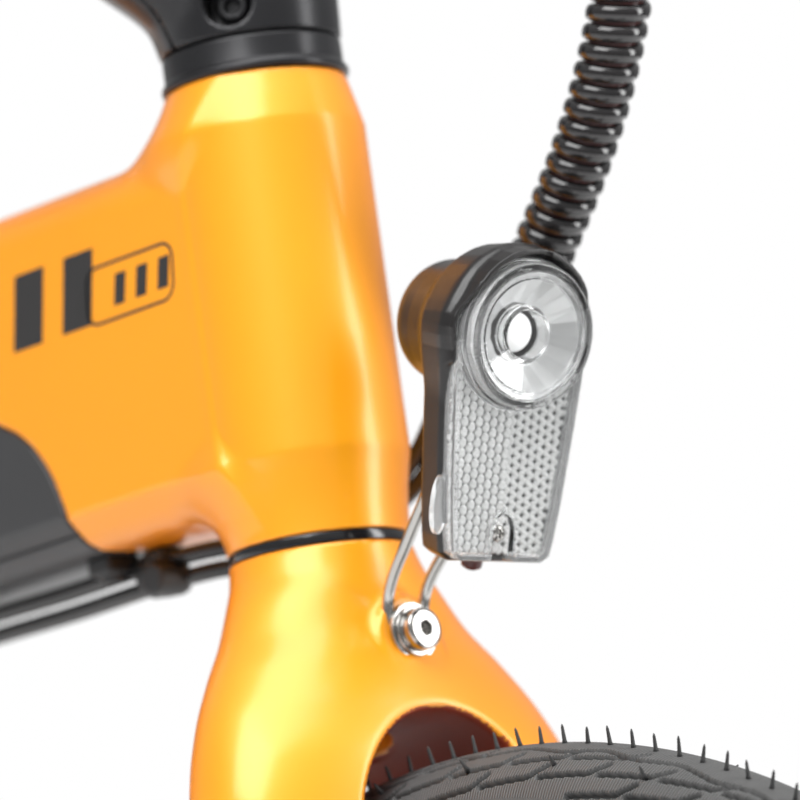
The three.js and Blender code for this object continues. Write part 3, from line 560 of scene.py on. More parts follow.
# A whiter, less clear band round the rim of the cover: painted highlight along its edges.
EDGE_CLEAR = clear_through(surface("clear_edge_painted_highlight", (0.8, 0.81, 0.81), 0.12, trans=0.8, ior=1.45, coat=0.4,
                                   grain=2, depth=0.001, mottle=10, shift=0.03))
MIRROR = surface("reflector_silver", (0.56, 0.56, 0.56), 0.24, metal=0.45, grain=0.8, depth=0.006, mottle=5,
                 shift=0.05)
PRISM_LIGHT = surface("prism_ridge", (0.5, 0.5, 0.495), 0.25, coat=0.3, grain=0.8, depth=0.01, mottle=4,
                      shift=0.08)
# A darker copy of the ridge material, laid in the prism panel's recessed cells and valleys as painted shade.
PRISM_PAINTED_SHADE = surface("prism_cell_painted_shade", (0.09, 0.09, 0.09), 0.25, metal=0.2, grain=0.9, depth=0.02, mottle=3,
                     shift=0.5)
DECAL = surface("black_graphic", (0.02, 0.019, 0.019), 0.4, coat=0.3, grain=0.5, depth=0.002, mottle=15,
                shift=0.2)
SIDEWALL = surface("tyre_sidewall", (0.03, 0.03, 0.031), 0.58, grain=0.6, depth=0.03, mottle=20, shift=0.2)
SLOT_FINISH = {"paint": PAINT, "charcoal": CHARCOAL, "black": MATT, "satin_black": ANOD, "alloy": ALLOY,
               "steel": STEEL, "chrome": CHROME, "lens": CLEAR, "rubber": RUBBER, "tyre": SIDEWALL,
               "vinyl": VINYL}


# ---- front frame: head tube, beam and hinge half ---------------------------------------------
COS, SIN = STEER.rows[0][0], STEER.rows[0][2]
PLATE = [(-41, 452), (-36, 432), (-20, 420), (22, 420), (44, 432), (44, 546), (22, 560), (-20, 560),
         (-36, 548), (-41, 528)]
PACK = [(-72, 8), (-72, 26), (-73.7, 31), (-75.4, 36), (-78.4, 41.6), (-82.7, 47.4), (-88.7, 52.3),
        (-96, 56.4), (-108, 60), (-125, 62), (-318, 62), (-324, 56), (-324, 8)]
CROWN_XZ = (STEER.o - BIKE.o)[[0, 2]]


def bike_xz(f, h):
    return CROWN_XZ[0] + COS * f - SIN * h, CROWN_XZ[1] + SIN * f + COS * h


def ease(t):
    t = np.clip(t, 0, 1)
    return t * t * (3 - 2 * t)


def beam(f, y, h, half=28.5, low=15, high=118):
    """The main beam: flat sides, chamfered top and bottom."""
    ay = abs(y)
    d = smax(smax(ay - half, 0.745 * (ay - half) - 0.667 * (h - low - 9.5), 0.9), low - h, 5)
    top = smax(h - (high - y * y * 0.003), 0.824 * (ay - half) + 0.567 * (h - high + 11), 6)
    return smax(d, top, 2.5)


def front_frame(f, y, h):
    """Head tube and hollow beam, with the fixed half of the frame hinge."""
    x, z = bike_xz(f, h)
    r = np.hypot(f, y)
    head = r - np.interp(h, [1.65, 5, 10, 15, 20, 24.5, 117, 124, 131.7],
                         [25.4, 25.5, 25.9, 26.6, 27.5, 28.5, 28.5, 26.9, 25])
    head = smax(smax(head, h - 131.7, 0.8), 1.65 - h, 0.5)
    bar = smax(beam(f, y, h), f + 4, 2)
    d = smin(head, bar, 1.5 + 18 * ease((h - 100) / 20) + 13 * ease((36 - h) / 18))
    plate = smax(poly(y, z, PLATE), abs(x - JOINT_X - 5.8) - 5.5, 1.2)
    d = smax(smin(d, plate, 5), JOINT_X + 0.3 - x, 0.4)
    eye = np.hypot(x - JOINT_X, y - HINGE_Y)
    for z0, z1 in ((424, 447.4), (532.6, 556)):
        d = smin(d, disc(eye, z, 11, z0, z1), 2)
    d = smax(d, -disc(eye, z, 12.6, 447.4, 532.6, 0.5), 0.6)
    return smax(d, 0.5 - poly(f, h, PACK), 0.7)


def battery(f, y, h):
    """The dark cover set into the underside of the beam, with one seam along it."""
    d = smax(beam(f, y, h), poly(f, h, PACK), 0.9)
    seam = abs(h - 20.5) - 0.35
    return smax(d, -smax(seam, -d - 0.8, 0.1), 0.3)


FINE = 1.3                          # cell size of the two large front castings
cast("frame_casting", front_frame, (-384, -47, -6), (31, 47, 134), FINE, STEER, PAINT, "front_frame",
     "front_frame", slot="paint")
cast("battery_cover", battery, (-326, -31, 12), (-70, 31, 64), FINE, STEER, CHARCOAL, "front_frame",
     "battery_pack", slot="charcoal")


# ---- fork ---------------------------------------------------------------------------------------
BELL_H = [-1.65, -8, -14.5, -25, -36, -49, -63, -76, -92, -112]
BELL_F = [25.4, 25.2, 25, 25.3, 26.8, 28, 29, 28.6, 26, 21]
BELL_Y = [25.4, 28, 32.4, 39.3, 48, 56.4, 62, 65.3, 66.4, 66]
BELL_SHIFT = [0, 1.1, 2.4, 4.3, 7.2, 10.2, 12.6, 14.4, 16.4, 18.6]
BELL_K = [2, 2, 2, 2, 2.05, 2.15, 2.3, 2.4, 2.6, 2.8]
LEG_H = [-78, -92, -108, -130, -205, -232, -290, -304, -318, -334]
LEG_IN = [34, 34.4, 35, 36.4, 40, 43, 47, 50.5, 50.5, 50.5]
LEG_OUT = [59, 62.5, 64.8, 64.4, 60, 58.3, 58.3, 58, 57.5, 57.5]
LEG_HALF = [18, 19, 19.5, 18.3, 15, 14, 12, 12, 12.5, 9]
BOLT_H = -29


def fork(f, y, h):
    """Bell-shaped crown over two blades, cut away for the tyre."""
    half_f, half_y = curve(h, BELL_H, BELL_F), curve(h, BELL_H, BELL_Y)
    k, shift = curve(h, BELL_H, BELL_K), curve(h, BELL_H, BELL_SHIFT)
    bell = ((abs(f - shift) / half_f) ** k + (abs(y) / half_y) ** k) ** (1 / k) - 1
    bell = smax(smax(bell * np.minimum(half_f, half_y), h + 1.65, 0.6), -112 - h, 3)
    y0, y1, half = curve(h, LEG_H, LEG_IN), curve(h, LEG_H, LEG_OUT), curve(h, LEG_H, LEG_HALF)
    mid_f = 10.7 + (-60 - h) * 0.129
    leg = ((abs(f - mid_f) / half) ** 3.2
           + (abs(abs(y) - (y0 + y1) / 2) / ((y1 - y0) / 2)) ** 3.2) ** (1 / 3.2) - 1
    leg = smax(smax(leg * (y1 - y0) / 2, h + 84, 5), -332 - h, 4)
    d = smin(bell, leg, 4)
    x, z = bike_xz(f, h)
    arch = arch_gap(y, x, z)
    d = smax(d, -arch, 3)
    d = smax(d, -disc(np.hypot(f, y), h, 12.5, -95, -36, 2), 1.5)
    boss = disc(np.hypot(y, h - BOLT_H), f, 10.5, 10, 31.8, 1.6)
    d = smin(d, boss, 3.5)
    drop = disc(np.hypot(f - RAKE, h + CROWN_RISE), abs(y), 13, 50.6, 57.4, 1)
    return smin(d, drop, 3)


def arch_gap(y, x, z):
    """The tyre opening under the crown."""
    axle = FRONT - BIKE.o
    reach = np.hypot(x - axle[0], z - axle[2])
    return (np.sqrt(((reach - 226) / 41) ** 2 + (y / 34) ** 2) - 1) * 33


# Faces inside the tyre opening under the crown, which take the painted shade.
def crown_shade_faces(c, n):
    return (arch_gap(c[:, 1], *bike_xz(c[:, 0], c[:, 2])) < 0.8).astype(int)


cast("fork_casting", fork, (-22, -69, -336), (62, 69, 0), 1.25, STEER, [PAINT, PAINTED_SHADE], "fork",
     "fork", slot="paint", paint_faces=crown_shade_faces)

turned("headset_seal", STEER.o, N, [(25.3, -1.35), (25.3, 1.35), (20, 1.35), (20, -1.35)], GLOSS,
       "front_frame", "headset_ring", slot="black", sides=96)
turned("headset_cap", STEER.o, N, [(25.6, 131.9), (26.2, 132.4), (26.2, 133.6), (25.5, 134.6),
                                   (25.0, 134.9), (25.0, 141.2), (24.4, 142), (16, 142), (16, 131.9)], ANOD,
       "front_frame", "headset_collar", slot="satin_black", sides=96)


# ---- stem base with its recessed clamp bolt --------------------------------------------------
W_DIR = np.array([1, 1]) / math.sqrt(2)
RECESS = (0.604, -0.797)
RECESS_H = 151.5
FOLD_W, FOLD_H = -64, 188           # hinge line of the handlepost


def stem(f, y, h):
    """Teardrop base on the headset, with its clamp slit, recessed screw and hinge lug."""
    w, u = f * W_DIR[0] + y * W_DIR[1], f * W_DIR[0] - y * W_DIR[1]
    back = curve(h, [142.4, 150, 165, 178, 187.7], [0, 2, 16, 31, 33])
    front = curve(h, [142.4, 165, 178, 187.7], [0, 1, 2, 4])
    r = curve(h, [142.4, 150, 165, 178, 187.7], [25.3, 25.4, 25.1, 24.6, 24])
    d = np.sqrt((w - np.clip(w, -back, front)) ** 2 + u * u) - r
    d = smax(smax(d, h - 187.7, 1.2), 142.5 - h, 0.7)
    out, side = f * RECESS[0] + y * RECESS[1], f * RECESS[1] - y * RECESS[0]
    hole = np.hypot(side, h - RECESS_H)
    d = smax(d, -disc(hole, out, 6.7, 15.5, 40, 0.5), 1.1)
    slit = smax(abs(f + 3.6 + (h - 142.3) * 0.26) - 0.5, -d - 1.1, 0.1)
    d = np.where(y < 0, smax(d, -slit, 0.35), d)
    screw = smax(disc(hole, out, 4.3, 10, 19.2, 0.5), -disc(hole, out, 2.1, 16.5, 30, 0.2), 0.3)
    d = np.minimum(d, screw)
    pin = np.hypot(w - FOLD_W, h - FOLD_H)
    lug = smin(disc(pin, u, 9, -9.7, 9.7, 1), block(w, u, h, (-44, 0, 181.6), (20, 9.7, 6), 2), 4)
    d = smin(d, lug, 4)
    for s in (-1, 1):
        d = smax(d, -disc(pin, s * u, 9.7, 10, 40, 0.3), 0.3)
    return d


cast("stem_base_casting", stem, (-62, -62, 140), (30, 30, 190), 0.9, STEER, ANOD, "fork", "stem_base",
     slot="satin_black")


def post(f, y, h):
    """The folding handlepost, with hinge ears below and a slotted collar on top."""
    w, u = f * W_DIR[0] + y * W_DIR[1], f * W_DIR[0] - y * W_DIR[1]
    back = curve(h, [188.3, 200, 216, 232, 420], [33, 33, 9, 0, 0])
    front = curve(h, [188.3, 200, 216, 232], [4, 4, 1, 0])
    r = curve(h, [188.3, 200, 216, 232, 396, 399, 420], [24, 24, 22, 20, 20, 20, 20])
    d = np.sqrt((w - np.clip(w, -back, front)) ** 2 + u * u) - r
    d = smax(smax(d, h - 402, 1), 188.4 - h, 1)
    rr = np.hypot(f, y)
    d = smin(d, disc(rr, h, 24, 400.5, 418, 1), 2)
    lug = block(f, y, h, (-28, 0, 409), (9, 9, 8), 1.5)
    d = smin(d, lug, 2.5)
    d = smax(d, -disc(rr, h, 15.4, 225, 430, 0.2), 0.4)
    d = smax(d, -block(f, y, h, (-32, 0, 409), (14, 0.8, 12), 0.2), 0.3)
    pin = np.hypot(w - FOLD_W, h - FOLD_H)
    for s in (-1, 1):
        ear = smin(disc(pin, s * u, 9, 10.4, 22, 1), block(w, s * u, h, (-50, 15.7, 194), (16, 5.2, 5.4),
                                                           1.5), 3)
        d = smin(d, ear, 3)
    return smax(d, -disc(pin, u, 9.8, -10.2, 10.2, 0.3), 0.3)


cast("handlepost_casting", post, (-66, -66, 186), (32, 32, 420), 1.6, STEER, ANOD, "handlepost",
     "handlepost", slot="satin_black")


# ---- lamp: housing, hood, clear cover, collimator, prism panel --------------------------------
LAMP_HALF = [(0, 23.4), (4, 23.1), (8, 21.8), (12, 19.4), (15.2, 16.6), (17.6, 13.4), (19.4, 10), (21.2, 7),
             (22.7, 4.2), (23.2, 1.4), (22.8, -1.6), (22, -5), (21.8, -12), (20.9, -24), (20.1, -33),
             (18.9, -46), (17.6, -56), (16.6, -60.6), (13.5, -62.6)]
LAMP_OUT = LAMP_HALF + [(-y, u) for y, u in reversed(LAMP_HALF[1:])]


def lamp_body(f, y, u):
    """Pear-shaped shell with a round barrel behind it and a lip round the lens."""
    out = poly(y, u, LAMP_OUT)
    back = smax(out + (-9 - f) * 0.14, abs(f + 15.2) - 6.2, 2.5)
    r = np.hypot(y, u + 0.5)
    barrel = smax(r - np.interp(f, [-44, -34, -22, -10, -4], [16.2, 17.4, 19.6, 21.6, 21.8]),
                  abs(f + 26) - 18.5, 7)
    d = smin(back, barrel, 7)
    lip = smax(smax(out, -(out + 1.7), 0.5), abs(f + 6.0) - 4.6, 0.8)
    lip = smax(smax(lip, -7 - u + (f + 1) * 0.35, 0.8), f + 1.6 + 3.8 * ease((15 - u) / 12), 0.6)
    d = smin(d, lip, 1.0)
    inside = smax(smax(out + 1.7, -64 - u, 0.5), -9.3 - f, 0.6)
    d = smax(d, -inside, 0.6)
    d = smax(d, -block(f, y, u, (0, 2.5, 22), (3.2, 2.2, 3), 0.4), 0.4)
    stay = block(f, abs(y), u, (-21.5, 9.5, -36), (2.4, 3.4, 5), 1.2)
    return smin(d, stay, 1.5)


cast("lamp_shell", lamp_body, (-46, -26, -64), (1, 26, 26), 0.7, LAMP, LAMP_SHELL, "fork", "lamp_housing",
     slot="black")


def lamp_cover(f, y, u):
    """The clear front: a ring round the lens over a pane with a notch for the screw."""
    out = poly(y, u, LAMP_OUT)
    r = np.hypot(y, u)
    low_win = smax(smax(out + 1.0, u + 2.2, 2.5), 16 - r, 0.3)
    edge = smax(smax(low_win, -(out + 2.3), 0.3), abs(f + 8.0) - 2.6, 0.5)
    pane = smax(low_win, abs(f + 6.2) - 0.55, 0.3)
    border = smax(smax(low_win, -(out + 2.9), 0.3), abs(f + 5.2) - 0.8, 0.4)
    ring = smax(abs(r - 18.5) - 1.2, abs(f + 4.4) - 4.4, 0.7)
    outer = smax(smax(r - 20.5, -(r - 17.6), 0.4), abs(f + 5.2) - 1.7, 0.6)
    d = smin(smin(np.minimum(edge, pane), border, 0.3), outer, 0.8)
    d = smin(d, ring, 0.5)
    d = np.maximum(d, 17.3 - r)
    pocket = smax(poly(y, u, [(-3.4, -61.6), (-3.4, -53), (-2.2, -49.8), (0, -48.4), (2.2, -49.8),
                              (3.4, -53), (3.4, -61.6)]), abs(f + 6.4) - 4, 0.5)
    frame_u = smax(smax(pocket - 1.0, -pocket, 0.3), abs(f + 5.5) - 1.2, 0.4)
    d = smin(smax(d, -pocket, 0.3), smax(frame_u, out + 1.4, 0.3), 0.3)
    clip = smax((np.sqrt(((y + 19.4) / 2.4) ** 2 + ((u + 47) / 8) ** 2) - 1) * 2.0, abs(f + 8.6) - 1.3, 0.5)
    return smin(d, clip, 0.6)


# Faces of the cover's rim, which take the whiter band of painted highlight.
def rim_of_cover(c, n):
    y, u = c[:, 1], c[:, 2]
    r = np.hypot(y, u)
    band = (poly(y, u, LAMP_OUT) > -2.7) & (u < -2) & (r > 20.5)
    return (band | ((r > 17.2) & (r < 20.7) & (abs(n[:, 0]) < 0.5))).astype(int)


cast("lamp_window", lamp_cover, (-11.5, -23.6, -62.4), (1.2, 23.6, 22), 0.45, LAMP, [CLEAR, EDGE_CLEAR],
     "fork", "lamp_lens", slot="lens", paint_faces=rim_of_cover)


def lamp_point(r, a, f):
    return LAMP(np.stack([np.broadcast_to(f, np.broadcast(r, a).shape), r * np.cos(a), r * np.sin(a)], -1))


# The dish behind the lens: a silver cone with scalloped rays.
rays, ring_n = 288, 14
a_grid = np.arange(rays)[None, :] / rays * TAU
rr = np.linspace(6.8, 17.3, ring_n)[:, None]
ray = abs((a_grid / TAU * 12) % 1 - 0.5) * 2
lobes = abs((a_grid / TAU * 5 + 0.15) % 1 - 0.5) * 2
dish_f = -10 + 6.2 * ((rr - 6.8) / 10.5) ** 1.2 + 0.6 * ray * (rr - 5) / 12 + 1.0 * lobes * ((rr - 6) / 12)
front_pts = lamp_point(rr, a_grid, dish_f).reshape(-1, 3)
back_pts = lamp_point(np.array([[17.3], [6.8]]), a_grid, np.array([[-5.6], [-11.4]])).reshape(-1, 3)
dish = make("lamp_dish", np.vstack([front_pts, back_pts]),
            [tuple(q) for q in grid_faces(ring_n + 2, rays, wrap_rows=True)], MIRROR)
place(crisp(outward(dish), 25), "fork", slot="chrome")


def collimator(f, y, u):
    """The clear ring in front of the emitter."""
    r = np.hypot(y, u)
    face = f + 3.4 - 0.2 * (r - 7)
    ring = smax(abs(r - 12.0) - 5.3, abs(face) - 0.7, 0.4)
    wall = smax(abs(r - 7.2) - 0.65, abs(f + 5.6) - 2.4, 0.3)
    groove = smax(abs(r - 15.6) - 0.3, abs(face - 0.7) - 0.5, 0.2)
    return smax(smin(ring, wall, 0.5), -groove, 0.2)


cast("lamp_collimator", collimator, (-12, -18, -18), (0, 18, 18), 0.42, LAMP, CLEAR, "fork", slot="lens")


def emitter(f, y, u):
    r = np.hypot(y, u)
    dome = np.sqrt((f + 11) ** 2 * 1.6 + (y - 0.4) ** 2 + u * u) - 5.8
    return smin(disc(r, f, 6.9, -11.5, -9.8, 0.4), smax(dome, -11 - f, 0.2), 0.4)


cast("lamp_emitter", emitter, (-14, -8, -8), (-7.5, 8, 8), 0.35, LAMP, LED, "fork", slot="lens")

# The prism panel: waved columns towards the right of the bicycle, a diamond lattice towards its left.
PANEL_STEP, PANEL_F, PANEL_MARGIN, PANEL_SPLIT = 0.2, -9.3, 2.6, 1.2
COLUMN, WAVE_LONG, WAVE_HIGH = 2.4, 2.8, 0.42
GEM_Y, GEM_U, GEM_HALF = 2.5, 2.66, 1.42


def prism_panel():
    """The reflecting panel below the lens, one sheet of small facets; its recessed cells and valleys carry painted
    shade.
    """
    across, upward = np.arange(-21.5, 21.51, PANEL_STEP), np.arange(-60.6, -3.9, PANEL_STEP)
    y, u = np.meshgrid(across, upward)
    wave = WAVE_HIGH * np.sin(u / WAVE_LONG * TAU) * np.where(np.floor(y / COLUMN) % 2 > 0, 1, -1)
    column = abs((y + wave) / COLUMN % 1 - 0.5) * 2
    facet = abs((u / WAVE_LONG * 2) % 1 - 0.5) * 2
    rib = 0.1 + np.clip((column - 0.5) * 4, 0, 1) * (0.34 + 0.12 * facet)
    row = np.round(y / GEM_Y)
    du = u / GEM_U + row / 2
    gem = (abs(y - row * GEM_Y) + abs(du - np.round(du)) * GEM_U) / GEM_HALF
    lattice = np.where(gem < 1, 0.1 + 0.1 * gem, 0.5 - 0.2 * np.clip(gem - 1, 0, 1))
    columns_here = y < PANEL_SPLIT
    points = LAMP(np.stack([PANEL_F + np.where(columns_here, rib, lattice), y, u], -1).reshape(-1, 3))
    keep = (poly(y, u, LAMP_OUT) < -PANEL_MARGIN) & (np.hypot(y, u) > 19.4)
    quads = grid_faces(len(upward), len(across), wrap_cols=False)
    quads = quads[keep.reshape(-1)[quads].all(1)]
    # Recessed cells and valleys take the darker material: painted shade.
    dark = np.where(columns_here, column < 0.62, gem < 0.96).reshape(-1)[quads].mean(1) > 0.5
    used = np.unique(quads)
    place_of = np.full(len(points), -1)
    place_of[used] = np.arange(len(used))
    panel = make("lamp_prism_panel", points[used], place_of[quads][:, ::-1], [PRISM_LIGHT, PRISM_PAINTED_SHADE],
                 face_mats=dark.astype(int))
    mod = panel.modifiers.new("thickness", "SOLIDIFY")
    mod.thickness, mod.offset = 1.0 * MM, -1
    place(crisp(panel, 30), "fork", slot="lens")


prism_panel()


def lamp_back(f, y, u):
    return smax(smax(poly(y, u, LAMP_OUT) + 2.4, u + 5, 0.3), abs(f + 10.3) - 0.3, 0.2)


cast("lamp_back_plate", lamp_back, (-11, -24, -62), (-9.6, 24, -4), 0.5, LAMP, MIRROR, "fork",
     "lamp_reflector", slot="chrome")


def cross_screw(f, y, u):
    r = np.hypot(y, u + 54.2)
    head = smax(np.hypot(f + 9.6, r) - 3.6, r - 2.3, 0.3)
    d = smax(head, -9.4 - f, 0.2)
    for a, b in ((y, u + 54.2), (u + 54.2, y)):
        d = smax(d, -smax(smax(abs(a) - 0.32, abs(b) - 1.3, 0.1), -7.1 - f, 0.1), 0.12)
    return d


cast("lamp_screw", cross_screw, (-9.8, -2.8, -57), (-5.6, 2.8, -51.4), 0.16, LAMP, CHROME, "fork",
     slot="chrome")

# ---- wire stay, bolt and cable stub ----------------------------------------------------------------
half_wire = [(67, -9.5, 14), (58, -9, 6.3), (50, -8.4, -1), (43, -7.8, -7.6), (36.6, -7.1, -13.4),
             (33.2, -6.7, -17.6), (31.3, -6.5, -22), (30.8, -6.3, -26), (30.8, -6.1, -29.5),
             (30.8, -4.7, -33.2), (30.8, -2.4, -35.2)]
wire = half_wire + [(30.8, 0, -35.9)] + [(f, -y, h) for f, y, h in reversed(half_wire)]
place(tube("lamp_wire_stay", [STEER(*p) for p in wire], 1.65, CHROME, 20, 240), "fork", "lamp_stay",
      slot="chrome")


def stay_bolt(f, y, h):
    r = np.hypot(y, h - BOLT_H)
    washer = smax(disc(r, f, 8.1, 32.4, 33.9, 0.35), -(r - 3.1), 0.1)
    flange = disc(r, f, 7.0, 33.7, 34.9, 0.5)
    head = smax(disc(r, f, 5.9, 33.7, 38.6, 0.7), (r - 5.9) * 0.5 + (f - 38.0) * 0.6, 0.4)
    a = np.arctan2(h - BOLT_H, y) + 0.2
    hexagon = r * np.cos((a + math.pi / 6) % (math.pi / 3) - math.pi / 6) - 2.05
    head = smax(smin(head, flange, 0.3), -smax(hexagon, 36.2 - f, 0.15), 0.15)
    return np.minimum(np.minimum(washer, head), disc(r, f, 2.9, 22, 34, 0.3))


cast("stay_bolt", stay_bolt, (21, -8.8, -38), (39.2, 8.8, -20), 0.2, STEER, CHROME, "fork", "lamp_bolt",
     slot="chrome")
place(tube("lamp_lead", [LAMP(-19, 2, -50), LAMP(-19.5, 2, -58), LAMP(-20.5, 2, -64.5)], 2.9, WIRE_RED, 24,
           12), "fork", "lamp_cable_stub", slot="rubber")


# ---- cables ------------------------------------------------------------------------------------------
def neck_path(dy, dh):
    """The course of a cable behind the head tube and under the beam."""
    return [STEER(*p) for p in ((14, 38, 36 + dh), (2, 39 + dy, 25 + dh), (-14, 34 + dy, 14.5 + dh / 2),
                                (-32, 17 + dy, 9.6 + dh), (-50, 4 + dy, 9.4 + dh), (-66, dy, 9.2 + dh),
                                (-106, dy, 9 + dh), (-150, dy, 9.6 + dh), (-230, 2 + dy, 10 + dh),
                                (-320, 4 + dy, 10 + dh))]


place(tube("brake_hose_front_run", neck_path(-1, 1.6), 2.5, CABLE, 20), "front_frame", "neck_cable_a",
      slot="rubber")
place(tube("gear_cable_front_run", neck_path(1.5, -3.9), 2.5, CABLE, 20), "front_frame", "neck_cable_b",
      slot="rubber")


def clip(f, y, h):
    """The rubber clip that holds the two cables behind the head tube."""
    holder = smin(block(f, y, h, (-65, 0.5, 8.2), (4.6, 5.4, 6.6), 2.2),
                  disc(np.hypot(f + 62, h - 5.6), y, 4.6, -9, 3, 1.4), 1.6)
    band = disc(np.hypot(y - 0.3, h - 8.2), f, 6.6, -72, -67, 1.2)
    foot = smin(block(f, y, h, (-79, -7, 12.6), (5, 6, 2.8), 1.4),
                disc(np.hypot(f + 79, y + 7), h, 3.8, 7.6, 12, 0.7), 1.5)
    return np.minimum(smin(holder, band, 1.5), foot)


cast("cable_clamp", clip, (-87, -17, -2), (-54, 11, 18), 0.6, STEER, RUBBER, "front_frame", "cable_clip",
     slot="rubber")

# The spiral wrap: a rounded strand wound round the cables.
LOOM = [STEER(*p) for p in ((34, 30, 498), (60, 36, 455), (94, 41, 370), (118, 42, 280), (121, 42, 205),
                            (112, 42, 152), (103.6, 42, 129.2), (92.7, 42, 109.6), (78.9, 42, 91.2),
                            (61.1, 42, 72.1), (50, 42, 60))]
WRAP_PITCH, WRAP_R, CABLES_R = 5.5, 8.8, 6.6
STRAND_THICK, STRAND_WIDE, SQUARENESS = 2.2, 2.5, 0.85
loom_line, loom_length = spline(LOOM, 400)


def spiral(path, turns, per_turn=28, sides=14):
    """A strand of rounded section wound round a path."""
    u = np.linspace(0, 1, int(turns * per_turn))
    known = np.linspace(0, 1, len(path))
    at, along, a, b = (np.stack([np.interp(u, known, q[:, k]) for k in range(3)], 1)
                       for q in (path, *carried_axes(path)))
    phase = (u * turns * TAU)[:, None]
    out = np.cos(phase) * a + np.sin(phase) * b
    th = np.arange(sides)[:, None] / sides * TAU
    thick, wide = (np.sign(w) * abs(w) ** SQUARENESS for w in (np.cos(th), np.sin(th)))
    rings = (at + out * (WRAP_R - 2.1))[:, None] + STRAND_THICK * thick * out[:, None]
    rings = rings + STRAND_WIDE * wide * along[:, None]
    return capped(rings, rings[0].mean(0), rings[-1].mean(0))


wrap = outward(make("spiral_cable_wrap", *spiral(loom_line, loom_length / WRAP_PITCH), WRAP))
core = outward(make("wrapped_cables", *sweep(loom_line, CABLES_R), WIRE_RED))
for piece in (wrap, core):
    tuple(STEER(60, 42, 70) * MM)
    tuple(STEER(60, 42, 260) * MM)
    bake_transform(piece)
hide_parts("cable_loom")


# ---- generic graphics on the beam ---------------------------------------------------------------------
def slab(name, outlines, y0, y1, mat):
    """Thin plates from (f, h) outlines between two y values; each outline may carry an inner hole."""
    parts = []
    for o, hole in outlines:
        for s in (-1, 1):
            k = len(o)
            ring = [np.array([(f, s * y, h) for f, h in o]) for y in (y0, y1)]
            if hole is None:
                v, f = prism(*ring)
            else:
                inner = [np.array([(f, s * y, h) for f, h in hole]) for y in (y0, y1)]
                v = np.vstack(ring + inner)
                f = []
                for i in range(k):
                    j = (i + 1) % k
                    f += [(i, j, 2 * k + j, 2 * k + i), (k + j, k + i, 3 * k + i, 3 * k + j),
                          (i, k + i, k + j, j), (2 * k + i, 2 * k + j, 3 * k + j, 3 * k + i)]
            parts.append((STEER(v), f))
    v, f = merged(parts)
    return outward(make(name, v, f, mat, smooth=False))


def bar(f0, f1, h0, h1, lean=0.22):
    return [(f0 + lean * h0, h0), (f1 + lean * h0, h0), (f1 + lean * h1, h1), (f0 + lean * h1, h1)]


def rounded(f0, f1, h0, h1, r, lean=0.12, grow=0.0):
    pts = []
    for cf, ch, a0 in ((f1 - r, h1 - r, 0), (f0 + r, h1 - r, 90), (f0 + r, h0 + r, 180),
                       (f1 - r, h0 + r, 270)):
        for i in range(7):
            a = math.radians(a0 + i * 15)
            f, h = cf + (r + grow) * math.cos(a), ch + (r + grow) * math.sin(a)
            pts.append((f + lean * (h - 82), h))
    return pts


stripes = [(bar(-79 - 22 * i, -66 - 22 * i, 75, 96), None) for i in range(3)]
stripes += [(bar(-150 - 38 * i, -122 - 38 * i, 82, 89), None) for i in range(4)]
stripes.append((rounded(-50.5, -12, 74, 90.6, 5), rounded(-50.5, -12, 74, 90.6, 5, grow=-0.9)))
stripes += [(bar(-58.5 + 9.5 * i, -53.8 + 9.5 * i, 78, 86.6, 0.25), None) for i in range(3)]
graphics = slab("beam_graphics", stripes, 28.3, 28.58, DECAL)
place(graphics, "front_frame", slot="charcoal")


# ---- wheels --------------------------------------------------------------------------------------------
TYRE_C, TYRE_T = 228.0, 24.0
TREAD_HALF = 29.0
TREAD_PITCH = TAU * WHEEL_R / 27
STICK = [(0, 0), (18, 2.5), (23, 6.9)]


def groove(distance, half, depth, soft=0.35):
    return -depth * ease((half + soft - distance) / soft)


def tread(s, t):
    """Height of the tread, in mm, at s round the tyre and t across it."""
    a = abs(t)
    s = TAU / 4 * WHEEL_R - s + np.where(t > 0, TREAD_PITCH / 2, 0)
    h = np.zeros(np.broadcast(s, a).shape)
    for k in range(6):
        along = (s - (22 * k - 15) + 4) % TREAD_PITCH - 4
        over = (26.75 - 2.6 * k) - a
        for (x0, y0), (x1, y1) in zip(STICK, STICK[1:]):
            part = np.clip(((along - x0) * (x1 - x0) + (over - y0) * (y1 - y0))
                           / ((x1 - x0) ** 2 + (y1 - y0) ** 2), 0, 1)
            near = np.hypot(along - x0 - part * (x1 - x0), over - y0 - part * (y1 - y0))
            h = np.minimum(h, groove(near, 0.6, 1.7))
    crown = abs(a - 9.8 - 1.3 * (abs(s / (TREAD_PITCH / 2) % 1 - 0.5) * 4 - 1))
    h = np.minimum(h, groove(crown, 0.55, 1.5))
    return h * ease((TREAD_HALF - a) / 2)


SIDE_LINES = [(36, 0.25, 0.8), (40, 0.2, 0.5)]      # moulded lines: place across, height, width


